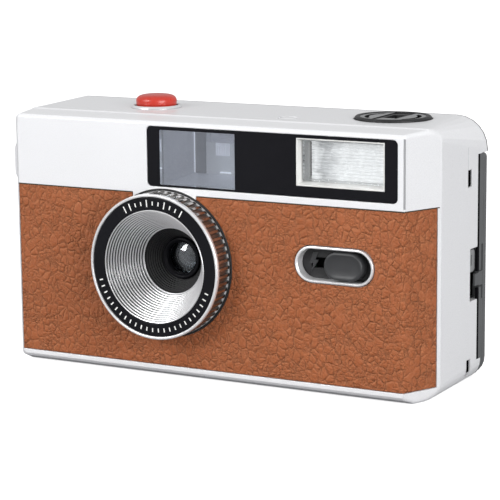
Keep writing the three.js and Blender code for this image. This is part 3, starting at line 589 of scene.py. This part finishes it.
def knurled_ring():
    teeth, facets = 60, 8         # each pitch is half tooth, half groove
    groove_depth = 0.42
    count = teeth * facets
    # radius, y, toothed
    stations = [(17.9, -0.06, True), (18.12, -0.12, True), (18.12, -5.1, True),
                (18.06, -5.25, True), (17.5, -5.26, False), (17.35, -5.0, False),
                (15.6, -4.9, False), (15.6, -0.06, False)]
    layers = []
    for radius, y, toothed in stations:
        outline = []
        for i in range(count):
            cut_in = groove_depth if toothed and i % facets >= facets // 2 else 0
            outline.append(polar(LENS, radius - cut_in, 2 * math.pi * (i + 0.5) / count))
        layers.append((outline, y))
    ring = add_piece("lens_ring_knurled", stack_y(layers, "join"), KNURL, "bright_trim",
                     replaces="lens_rim", angle=28)

    def in_groove(x, y, z, normal):
        radius = math.hypot(x - LENS[0], z - LENS[1])
        return 17.55 < radius < 17.95 and -5.2 < y < -0.1

    # Painted shade on the groove faces
    paint_faces(ring.data, KNURL_GROOVE_SHADE, in_groove)


knurled_ring()

# Profiles round the lens: radius, y
RIM = [(17.5, -5.24), (18.0, -5.24), (18.22, -5.42), (18.26, -5.9), (18.2, -6.2),
       (18.0, -6.36), (17.8, -6.38), (17.58, -6.3), (17.5, -6.05)]
SEAT = [(18.2, -0.16), (18.62, -0.16), (18.74, -0.05), (18.74, 0.3), (18.66, 0.3),
        (18.66, -0.02), (18.2, -0.02)]
BLACK_RING = [(14.25, -5.6), (14.25, -6.02), (14.4, -6.12), (17.3, -6.12), (17.44, -6.0),
              (17.44, -5.6)]
add_piece("lens_ring_rim", lathe(RIM, 192), TRIM, "bright_trim")
add_piece("lens_seat_ring", lathe(SEAT, 128), BLACK, "black_plastic")
add_piece("lens_black_ring", lathe(BLACK_RING, 192), GLOSS, "black_gloss",
          replaces="lens_name_ring")


def ring_marks():
    """Printed index marks on the black ring, every 6 degrees along two arcs."""
    half_width = 0.55             # degrees
    front, thickness = -6.121, 0.02
    verts, faces = [], []
    for middle in [*range(60, 121, 6), *range(196, 345, 6)]:
        is_long = middle % 18 == 6 or middle == 120
        inner, outer = (15.0, 16.8) if is_long else (15.4, 16.4)
        turns = [math.radians(middle + half_width * side) for side in (-1, 0, 1)]
        outline = [polar(LENS, outer, turn) for turn in turns]
        outline += [polar(LENS, inner, turn) for turn in reversed(turns)]
        mark_verts, mark_faces = stack_y([(outline, front), (outline, front - thickness)])
        offset = len(verts)
        verts += mark_verts
        faces += [tuple(i + offset for i in face) for face in mark_faces]
    add_piece("lens_ring_marks", (verts, faces), PRINT, "white_dial")


ring_marks()


def steps_between(start, end, count):
    """Front and back radius and y of each step of a cone."""
    for i in range(count):
        yield tuple(start[axis] + (end[axis] - start[axis]) * k / count
                    for k in (i, i + 1) for axis in (0, 1))


def bright_cone():
    front, back, count = (13.85, -6.0), (8.35, 3.1), 14
    profile = [(14.2, -5.2), (14.22, -5.95), (14.05, -6.08), front]
    for radius, y, next_radius, next_y in steps_between(front, back, count):
        profile += [(radius - 0.01, y + 0.03), (radius - 0.10, y + (next_y - y) * 0.50),
                    (radius + 0.02, y + (next_y - y) * 0.58), (radius - 0.03, next_y - 0.02),
                    (next_radius + 0.05, next_y)]
    profile += [(8.25, 3.2), (8.9, 3.35), (15.2, -4.6), (15.2, -5.2)]
    cone = add_piece("lens_cone_bright", lathe(profile, 160), CONE, "bright_trim",
                     replaces="lens_cone", angle=26)

    def in_step(x, y, z, normal):
        step = (y - front[1]) / (back[1] - front[1]) * count
        return 0.02 < step < count and 0.12 < step % 1 < 0.97

    # Painted shade on the risers; the treads stay bright
    paint_faces(cone.data, CONE_RISER_SHADE, in_step)


def black_throat():
    front, back = (8.15, 3.46), (5.5, 7.9)
    profile = [(12.3, 3.5), front]
    for radius, y, next_radius, next_y in steps_between(front, back, 8):
        profile += [(radius - 0.03, y + 0.02), (radius - 0.05, next_y - 0.06),
                    (radius - 0.1, next_y), (next_radius + 0.05, next_y)]
    profile += [(5.45, 8.0), (5.45, 8.65), (6.6, 8.65), (8.8, 4.2), (12.3, 4.2)]
    add_piece("lens_throat_black", lathe(profile, 128), BLACK, "black_plastic",
              replaces="lens_inner_cone", angle=26)


bright_cone()
black_throat()

RETAINER = [(4.05, 7.9), (4.15, 7.6), (4.6, 7.25), (5.0, 7.22), (5.28, 7.4), (5.28, 8.85),
            (4.05, 8.85)]
add_piece("lens_retaining_ring", lathe(RETAINER, 96), GLOSS, "black_gloss",
          replaces="lens_retainer")


def front_glass():
    """Domed front element with a flat back."""
    radius, edge_y, dome, thickness, steps = 4.0, 8.95, 1.0, 0.9, 14
    profile = [(radius * i / steps, edge_y - dome * (1 - (i / steps) ** 2))
               for i in range(steps + 1)]
    profile += [(radius, edge_y + thickness), (0, edge_y + thickness)]
    add_piece("lens_glass_front", lathe(profile, 96, closed=False), LENS_GLASS, "clear",
              replaces="lens_front_element", angle=40)


front_glass()

# ------------------------------------------------------------------ viewfinder interior

FINDER_LEFT, FINDER_RIGHT = -12.9, 6.0
FINDER_FLOOR, FINDER_TOP = 50.0, 62.4
FINDER_SPLIT = -9.6           # x where the shaded and the lit panel meet
FINDER_LIT_TOP = 58.0       # top of the lit panel and the ribbed screen
FINDER_BACK = 15.9            # y of the back wall


def finder_panel(name, left, right, top, material):
    """Thin plate on the back wall, its front face slightly inset."""
    thickness, inset = 0.18, 0.03
    outline = rectangle(left, right, FINDER_FLOOR, top)
    mid_x, mid_z = (left + right) / 2, (FINDER_FLOOR + top) / 2
    field = [(x + (mid_x - x) * inset, z + (mid_z - z) * inset) for x, z in outline]
    layers = [(outline, FINDER_BACK), (outline, FINDER_BACK - thickness * 0.6),
              (field, FINDER_BACK - thickness)]
    add_piece(name, stack_y(layers), material, "grey_plastic")


def finder_corner_bead():
    """Upright strip in the left back corner, glowing as a painted highlight."""
    left, right = FINDER_LEFT + 0.1, FINDER_LEFT + 0.32
    front, back = FINDER_BACK - 0.5, FINDER_BACK - 0.1
    bottom, top = FINDER_FLOOR + 0.2, FINDER_TOP - 0.2
    face = [(right, front, bottom), (left, back, bottom), (left, back, top),
            (right, front, top)]
    solid = ring_stack([[(x - shift, y, z) for x, y, z in face] for shift in (0, 0.26)])
    add_piece("finder_corner_bead", solid, FINDER_HIGHLIGHT, "grey_plastic")


def finder_ribs():
    """Eight upright ribs, spaced along X."""
    base, tip, pitch = FINDER_BACK - 0.3, FINDER_BACK - 0.62, 0.5
    outline = [(-6.9, FINDER_BACK - 0.1)]
    for i in range(8):
        x = -6.7 + i * pitch
        outline += [(x, base), (x + 0.12, tip), (x + 0.3, tip), (x + 0.42, base)]
    outline += [(-2.6, FINDER_BACK - 0.1)]
    solid = ring_stack([[(x, y, z) for x, y in outline] for z in (54.8, FINDER_LIT_TOP)])
    add_piece("finder_ribbed_screen", solid, RIBS, "grey_plastic")


# Painted shade on the left panel, painted light on the right one
finder_panel("finder_back_left", FINDER_LEFT, FINDER_SPLIT, FINDER_TOP, FINDER_SHADED)
finder_panel("finder_back_right", FINDER_SPLIT, FINDER_RIGHT, FINDER_LIT_TOP, FINDER_LIT)
finder_corner_bead()
finder_ribs()

# Glowing bar of painted highlight low on the back wall: outlines in x, z
GLINT_BACK = [(-5.6, 50.35), (-2.2, 50.35), (-2.4, 50.75), (-5.4, 50.75)]
GLINT_FRONT = [(-5.4, 50.42), (-2.4, 50.42), (-2.6, 50.68), (-5.2, 50.68)]
add_piece("finder_floor_glint",
          stack_y([(GLINT_BACK, FINDER_BACK - 0.35), (GLINT_FRONT, FINDER_BACK - 0.6)]),
          FINDER_HIGHLIGHT, "grey_plastic")

# ------------------------------------------------------------------ flash screen


def flash_screen():
    """Twelve level ribs that run along X."""
    bottom, pitch = 52.5, 0.78
    left, right = 26.2, 45.9
    # y, height above the start of the rib
    rib = [(4.1, 0), (3.98, 0.16), (3.94, 0.36), (3.98, 0.56), (4.1, 0.72)]
    profile = [(4.15, 52.4)]
    for i in range(12):
        profile += [(y, bottom + i * pitch + rise) for y, rise in rib]
    profile += [(4.15, 61.95)]
    solid = ring_stack([[(x, y, z) for y, z in profile] for x in (left, right)])
    add_piece("flash_ribbed_screen", solid, RIBBED_GLASS, "clear")


flash_screen()

# ------------------------------------------------------------------ flash switch

# Stadium layers: length, width, y
SWITCH_BEZEL = [(20.9, 8.9, 2.4), (20.9, 8.9, -0.1), (20.7, 8.7, -0.28), (20.3, 8.3, -0.35),
                (19.9, 7.95, -0.33), (19.45, 7.55, -0.1), (19.35, 7.45, 0.3),
                (19.35, 7.45, 2.4)]
SWITCH_KNOB = [(10.2, 6.8, 2.35), (10.2, 6.8, -0.1), (10.05, 6.65, -0.35), (9.7, 6.3, -0.5),
               (9.1, 5.7, -0.54), (8.4, 5.0, -0.42), (7.6, 4.2, -0.3), (5.0, 1.6, -0.22)]
SWITCH_BACKING = [(15.4, 4.6, 6.62), (15.4, 4.6, 6.48), (15.1, 4.3, 6.45)]


def stadium_piece(name, layers, centre_x, material, slot, ends="cap", **options):
    centre = (centre_x, SWITCH[1])
    solid = stack_y([(stadium(centre, length, width), y) for length, width, y in layers], ends)
    add_piece(name, solid, material, slot, angle=35, **options)


stadium_piece("switch_bezel", SWITCH_BEZEL, SWITCH[0], TRIM, "bright_trim", ends="join",
              replaces="flash_switch_surround")
stadium_piece("switch_knob", SWITCH_KNOB, KNOB_X, KNOB, "black_gloss",
              replaces="flash_switch_knob", body="flash_switch")

# ------------------------------------------------------------------ right side of the housing


def side_x(y):
    """Right side surface of the housing at depth y."""
    front_x, front_y, back_x, back_y = 57.2, 10.8, 58.1, 33.25
    return front_x + (back_x - front_x) * (y - front_y) / (back_y - front_y)


def side_bar(name, front, back, bottom, top, material, proud=0.035, depth=0.55):
    """Bevelled upright bar set in the right side, its outer face just proud of the surface."""
    bevel = 0.03
    front_x, back_x = side_x(front) + proud, side_x(back) + proud
    outline = [(front_x - depth, front), (front_x - bevel, front), (front_x, front + bevel),
               (back_x, back - bevel), (back_x - bevel, back), (back_x - depth, back)]
    heights = (bottom, (bottom * 2 + top) / 3, (bottom + top * 2) / 3, top)
    solid = ring_stack([[(x, y, z) for x, y in outline] for z in heights])
    add_piece(name, solid, material, "black_plastic")


# The gap line is painted shade; the chassis edge is the grey edge of the chassis
for part, bottom, top in (("upper", 27.85, 56.9), ("lower", 5.6, 23.65)):
    side_bar("side_gap_shade_" + part, 30.95, 31.95, bottom, top, RECESS_SHADE)
    side_bar("chassis_edge_" + part, 31.95, 33.2, bottom, top, GREY)
side_bar("side_seam_upright", 25.2, 25.34, 53.7, 59.2, SEAM_LIGHT, proud=0.02, depth=0.1)

# ------------------------------------------------------------------ painted shadow in the joints round the leather


def leather_joint(name, plan):
    """Thin strip of painted shadow in the joint above the leather, through (x, y) plan points."""
    middle, height, proud, depth = 46.74, 0.26, 0.035, 0.4
    bottom, top = middle - height / 2, middle + height / 2
    solid = ring_stack([[(x, y - proud, bottom), (x, y - proud, top),
                         (x, y + depth, top), (x, y + depth, bottom)] for x, y in plan])
    add_piece(name, solid, JOINT_SHADOW, "black_plastic")


leather_joint("leather_joint_shadow_left", [(-56.25, 0), (-45, 0), (-34, 0), (-22.2, 0)])
leather_joint("leather_joint_shadow_right", [(-3.3, 0), (12, 0), (27, 0), (BEND_X, 0)])
leather_joint("leather_joint_shadow_wing", [(BEND_X + (WING_END_X - BEND_X) * part, WING_END_Y * part)
                                     for part in (0.01, 0.3, 0.6, 0.985)])


def crease_liner():
    """Upright strip of painted shade in the groove behind the bend, above the leather."""
    left, right = BEND_X - 0.18, BEND_X + 0.28
    plan = [(left, 0.16), (right, 0.2), (right, 0.31), (left, 0.31)]
    solid = ring_stack([[(x, y, z) for x, y in plan] for z in (47.4, 52.8, 58.3, 63.8)])
    add_piece("crease_groove_shade", solid, CREASE_SHADE, "grey_plastic")


crease_liner()

# ------------------------------------------------------------------ strap lug


def lug_outline(left, right, bottom, top, radius, steps=10):
    """Rectangle with round left corners and nearly square right ones."""
    outline = []
    corners = ((right, top, 0), (left, top, 90), (left, bottom, 180), (right, bottom, 270))
    for x, z, start in corners:
        bend = radius if x == left else 0.05
        centre = (x + (bend if x == left else -bend), z + (bend if z == bottom else -bend))
        outline += [polar(centre, bend, math.radians(start + 90 * i / steps))
                    for i in range(steps + 1)]
    return outline


def strap_lug():
    """Rounded loop with a slot; the insets round its edges."""
    outer = [lug_outline(-61.15 + inset, -57.2, 45.9 + inset, 57.7 - inset, 3.2 - inset)
             for inset in (0, 0.12, 0.4)]
    slot = [lug_outline(-60.05 - inset, -57.9, 47.9 - inset, 55.7 + inset, 1.8 + inset)
            for inset in (0, 0.12, 0.3)]
    # The last layer repeats the first and is welded to it
    layers = [(outer[0], 5.75), (outer[1], 5.45), (outer[2], 5.3), (slot[2], 5.3),
              (slot[1], 5.45), (slot[0], 5.75), (slot[0], 7.85), (slot[1], 8.15),
              (slot[2], 8.3), (outer[2], 8.3), (outer[1], 8.15), (outer[0], 7.85),
              (outer[0], 5.75)]
    add_piece("strap_lug_loop", stack_y(layers, "open"), SILVER, "silver_shell",
              replaces="strap_lug", angle=50)


strap_lug()

# ------------------------------------------------------------------ painted shade in the recesses, and symbol


def tray(name, face_x, front, back, bottom, top, deep=0.32, rim=0.3):
    """Shallow tray of painted shade, open towards +X."""
    outer = rectangle(front, back, bottom, top)
    inner = rectangle(front + rim, back - rim, bottom + rim, top - rim)
    layers = [(outer, face_x - deep - 0.12), (outer, face_x), (inner, face_x),
              (inner, face_x - deep)]
    solid = ring_stack([[(x, y, z) for y, z in outline] for outline, x in layers])
    add_piece(name, solid, RECESS_SHADE, "black_plastic")


tray("side_slot_shade_top", 57.52, 25.32, 27.48, 49.55, 53.45)
tray("side_slot_shade_bottom", 57.42, 25.32, 27.48, 3.2, 6.3)
tray("latch_recess_shade", 55.42, 26.9, 34.2, 21.0, 33.9, deep=0.1, rim=0.25)
stadium_piece("switch_backing", SWITCH_BACKING, 33.3, BLACK, "black_plastic")

# Lightning bolt outline: x, z
BOLT = [(27.3, 35.0), (28.6, 35.0), (27.9, 33.2), (28.8, 33.2), (26.7, 29.9), (27.3, 32.3),
        (26.3, 32.3)]
add_piece("switch_symbol", stack_y([(BOLT, 2.54), (BOLT, 2.44)]), KNOB, "black_gloss")

# ------------------------------------------------------------------ release button and collar

# Profiles round the button axis: radius, z
BUTTON_CAP = [(0, 69.08), (1.2, 69.07), (2.6, 68.99), (3.6, 68.85), (4.3, 68.65), (4.8, 68.35),
              (5.1, 67.95), (5.23, 67.5), (5.22, 67.0), (5.16, 66.3), (5.0, 66.02),
              (1.45, 66.02), (1.45, 49.45), (0, 49.45)]
COLLAR = [(5.72, 66.1), (5.8, 66.22), (5.95, 66.3), (6.1, 66.26), (6.5, 65.78), (6.54, 65.66),
          (6.3, 65.66), (6.3, 62.2), (1.8, 62.2), (1.8, 62.65), (5.72, 62.65)]


def spring_coil():
    """Round wire coil with flat end turns, built at its free length; the real one shortens under
    the button.
    """
    turns, turn_steps, wire_steps = 4, 40, 10
    coil_radius, wire_radius = 2.7, 0.28
    base, end_turn, end_rise, free_rise = 63.1, 0.75, 0.12, 2.3
    free_turns = turns - 2 * end_turn
    rings = []
    for i in range(turns * turn_steps + 1):
        turn = i / turn_steps
        lower = min(turn / end_turn, 1)
        free = min(max((turn - end_turn) / free_turns, 0), 1)
        upper = min(max((turn - end_turn - free_turns) / end_turn, 0), 1)
        height = base + end_rise * lower + free * free_rise + end_rise * upper
        ring = []
        for k in range(wire_steps):
            out, rise = polar((coil_radius, height), wire_radius, k / wire_steps * 2 * math.pi)
            ring.append((*polar(BUTTON, out, turn * 2 * math.pi), rise))
        rings.append(ring)
    coil = add_piece("release_spring_coil", ring_stack(rings), STEEL, "steel",
                     replaces="button_spring", angle=40)
    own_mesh(coil)


add_piece("release_button_cap", lathe(BUTTON_CAP, 96, BUTTON, "z", closed=False), RED,
          "red_button", replaces="shutter_button", body="release_button", angle=50)
spring_coil()
add_piece("release_collar", lathe(COLLAR, 96, BUTTON, "z"), CONE, "bright_trim",
          replaces="button_collar")

# ------------------------------------------------------------------ leather

SHEET_START, SHEET_END = -56.25, 62.7     # measured along the front, then down the wing
SHEET_BOTTOM, SHEET_TOP = 3.25, 46.7
SHEET_FRONT, SHEET_BACK = 0.05, 0.62      # depths of the two faces
SHEET_EDGE = 0.35                         # width of the rounded edge
ROUND_START, ROUND_END = 51.4, 53.0       # stretch over which the bend is rounded


def sheet_plan(along, depth):
    """Plan point of the sheet, at a depth behind its nominal surface."""
    if ROUND_START < along < ROUND_END:
        start = sheet_plan(ROUND_START, depth)
        end = sheet_plan(ROUND_END, depth)
        corner = (BEND_X + depth * (WING.x - 1) / WING.y, depth)
        part = (along - ROUND_START) / (ROUND_END - ROUND_START)
        return tuple((1 - part) ** 2 * a + 2 * part * (1 - part) * b + part * part * c
                     for a, b, c in zip(start, corner, end))
    if along <= BEND_X:
        return along, depth
    past = along - BEND_X
    return BEND_X + WING.x * past - WING.y * depth, WING.y * past + WING.x * depth


def edge_drop(i, stations, j, heights):
    """Extra depth of the front face near the sheet's edges."""
    inside = min(stations[i] - SHEET_START, SHEET_END - stations[i],
                 heights[j] - SHEET_BOTTOM, SHEET_TOP - heights[j])
    if inside >= SHEET_EDGE:
        return 0.0
    return 0.16 if inside <= 0.001 else 0.05


def leather_sheet():
    """Uncut sheet: front and back grids joined round the border."""
    bend_end = 52.75
    flat_start = SHEET_START + SHEET_EDGE
    stations = [SHEET_START, SHEET_START + 0.1, flat_start]
    stations += [flat_start + (ROUND_START - SHEET_START - SHEET_EDGE) * i / 40
                 for i in range(1, 41)]
    stations += [51.75, 52.0, BEND_X, 52.45, bend_end]
    stations += [bend_end + (SHEET_END - SHEET_EDGE - bend_end) * i / 5 for i in range(1, 6)]
    stations += [SHEET_END - 0.1, SHEET_END]
    heights = [SHEET_BOTTOM, SHEET_BOTTOM + 0.1, SHEET_BOTTOM + SHEET_EDGE,
               (SHEET_BOTTOM + SHEET_TOP) / 2, SHEET_TOP - SHEET_EDGE, SHEET_TOP - 0.1,
               SHEET_TOP]
    columns, rows = len(stations), len(heights)

    verts = [(*sheet_plan(along, SHEET_FRONT + edge_drop(i, stations, j, heights)), z)
             for i, along in enumerate(stations) for j, z in enumerate(heights)]
    verts += [(*sheet_plan(along, SHEET_BACK), z) for along in stations for z in heights]

    def front(i, j):
        return i * rows + j

    def back(i, j):
        return (columns + i) * rows + j

    faces = []
    for i in range(columns - 1):
        for j in range(rows - 1):
            faces.append((front(i, j), front(i + 1, j), front(i + 1, j + 1), front(i, j + 1)))
            faces.append((back(i, j), back(i, j + 1), back(i + 1, j + 1), back(i + 1, j)))
    right, top = columns - 1, rows - 1
    for i in range(right):
        faces.append((front(i, 0), back(i, 0), back(i + 1, 0), front(i + 1, 0)))
        faces.append((front(i, top), front(i + 1, top), back(i + 1, top), back(i, top)))
    for j in range(top):
        faces.append((front(0, j), front(0, j + 1), back(0, j + 1), back(0, j)))
        faces.append((front(right, j), back(right, j), back(right, j + 1), front(right, j + 1)))
    return verts, faces


def box(left, right, front, back, bottom, top):
    verts = [(x, y, z) for x in (left, right) for y in (front, back) for z in (bottom, top)]
    faces = [(0, 1, 3, 2), (4, 6, 7, 5), (0, 4, 5, 1), (2, 3, 7, 6), (0, 2, 6, 4), (1, 5, 7, 3)]
    return verts, faces


def cut(solid, cutters):
    """Mesh of a solid with the cutters taken away."""
    target = add_object("tmp", mesh_from("tmp", solid, weld=False))
    tools = []
    for cutter in cutters:
        tool = add_object("tmp", mesh_from("tmp", cutter, weld=False))
        tools.append(tool)
        boolean = target.modifiers.new("cut", "BOOLEAN")
        boolean.object = tool
        boolean.operation = "DIFFERENCE"
        boolean.solver = "EXACT"
    bpy.context.view_layer.update()
    depsgraph = bpy.context.evaluated_depsgraph_get()
    mesh = bpy.data.meshes.new_from_object(target.evaluated_get(depsgraph))
    for thing in [target] + tools:
        bpy.data.objects.remove(thing)
    return mesh


def leather_covering():
    """The sheet with openings for the lens, the switch and a notch above the lens."""
    front, back = -3, 3
    circle = [polar(LENS, 18.78, 2 * math.pi * i / 128) for i in range(128)]
    cutters = [stack_y([(outline, front), (outline, back)])
               for outline in (circle, stadium(SWITCH, 21.4, 9.4))]
    cutters.append(box(-21.95, -3.55, front, back, 43.8, 50))
    add_mesh("leather_covering", cut(leather_sheet(), cutters), LEATHER, "leather",
             replaces="front_leather", angle=40)


leather_covering()

# ------------------------------------------------------------------ floor (metres from here on)


def floor_material():
    """Nearly white to the camera, grey to the camera's light, and clear from below."""
    look = Look("floor_white")
    seen = look.node("ShaderNodeLightPath").outputs["Is Camera Ray"]
    speckle = look.ramp(look.noise(900, detail=3), [(0.3, 0.92), (0.7, 0.94)])
    look.set(color=(0.93, 0.93, 0.93), rough=0.6, spec=0.2, emit_color=(1, 1, 1))
    look.set(color=look.mix(seen, (0.30, 0.30, 0.31), speckle),
             emit=look.math("MULTIPLY", seen, 0.62))
    below = look.node("ShaderNodeNewGeometry").outputs["Backfacing"]
    clear = look.node("ShaderNodeBsdfTransparent")
    look.surface(look.mix_shaders(below, look.bsdf.outputs[0], clear.outputs[0]))
    return look.material


def add_floor():
    mesh = bpy.data.meshes.new("floor")
    corners = [(x, y, 0) for x, y in rectangle(-4, 4, -4, 4)]
    mesh.from_pydata(corners, [], [(0, 1, 2, 3)])
    floor = add_object("floor", mesh)
    mesh.materials.append(floor_material())


add_floor()

# ------------------------------------------------------------------ light


def area_light(name, place, size, power):
    """Square light aimed at the camera body; power in watts."""
    light = bpy.data.lights.new(name, "AREA")
    light.energy = power
    light.size = size
    lamp = add_object(name, light)
    lamp.location = place
    aim = Vector((0, 0, 0.03)) - Vector(place)
    lamp.rotation_euler = aim.to_track_quat("-Z", "Y").to_euler()


area_light("key", (-0.45, -0.78, 0.43), size=0.42, power=5.15)
area_light("fill", (0.8, -0.45, 0.2), size=0.5, power=7.0)
area_light("top", (0.0, 0.25, 0.8), size=0.6, power=0.05)


def studio_world():
    """White to the camera; a grey ramp, brighter upwards, lights the scene."""
    world = bpy.data.worlds.new("studio")
    bpy.context.scene.world = world
    world.use_nodes = True
    graph = Graph(world.node_tree)
    split = graph.node("ShaderNodeSeparateXYZ")
    graph.link(graph.node("ShaderNodeTexCoord").outputs["Generated"], split.inputs[0])
    height = graph.math("MULTIPLY_ADD", split.outputs[2], 0.5, 0.5)
    greys = [(position, (grey, grey, grey * 1.01))
             for position, grey in ((0.45, 0.45), (0.52, 0.75), (0.7, 0.95))]
    sky = graph.ramp(height, [(0.0, (0.35, 0.35, 0.36)), *greys, (1.0, 1.0)])
    ambient = world.node_tree.nodes["Background"]
    graph.link(sky, ambient.inputs[0])
    ambient.inputs[1].default_value = 0.67      # strength
    backdrop = graph.node("ShaderNodeBackground")
    graph.feed(backdrop.inputs[0], (1, 1, 1))
    backdrop.inputs[1].default_value = 1.0
    seen = graph.node("ShaderNodeLightPath").outputs["Is Camera Ray"]
    graph.link(graph.mix_shaders(seen, ambient.outputs[0], backdrop.outputs[0]),
               world.node_tree.nodes["World Output"].inputs["Surface"])


studio_world()
bpy.context.scene.view_settings.view_transform = "Standard"

# ------------------------------------------------------------------ camera


def add_camera():
    """View from the front right, slightly above."""
    camera = bpy.data.cameras.new("cam")
    camera.sensor_width = 36
    camera.lens = 148.2
    camera.clip_start = 0.01
    viewer = add_object("cam", camera)
    azimuth, elevation, roll = (math.radians(angle) for angle in (28.59, 10.5, -0.56))
    back = Vector((math.sin(azimuth) * math.cos(elevation),
                   -math.cos(azimuth) * math.cos(elevation), math.sin(elevation)))
    forward = -back
    level = forward.cross(Vector((0, 0, 1))).normalized()
    upright = level.cross(forward).normalized()
    right = level * math.cos(roll) + upright * math.sin(roll)
    top = -level * math.sin(roll) + upright * math.cos(roll)
    matrix = Matrix((right, top, back)).transposed().to_4x4()
    matrix.translation = to_scene(246.69, -431.88, 125.77)
    viewer.matrix_world = matrix
    bpy.context.scene.camera = viewer


add_camera()
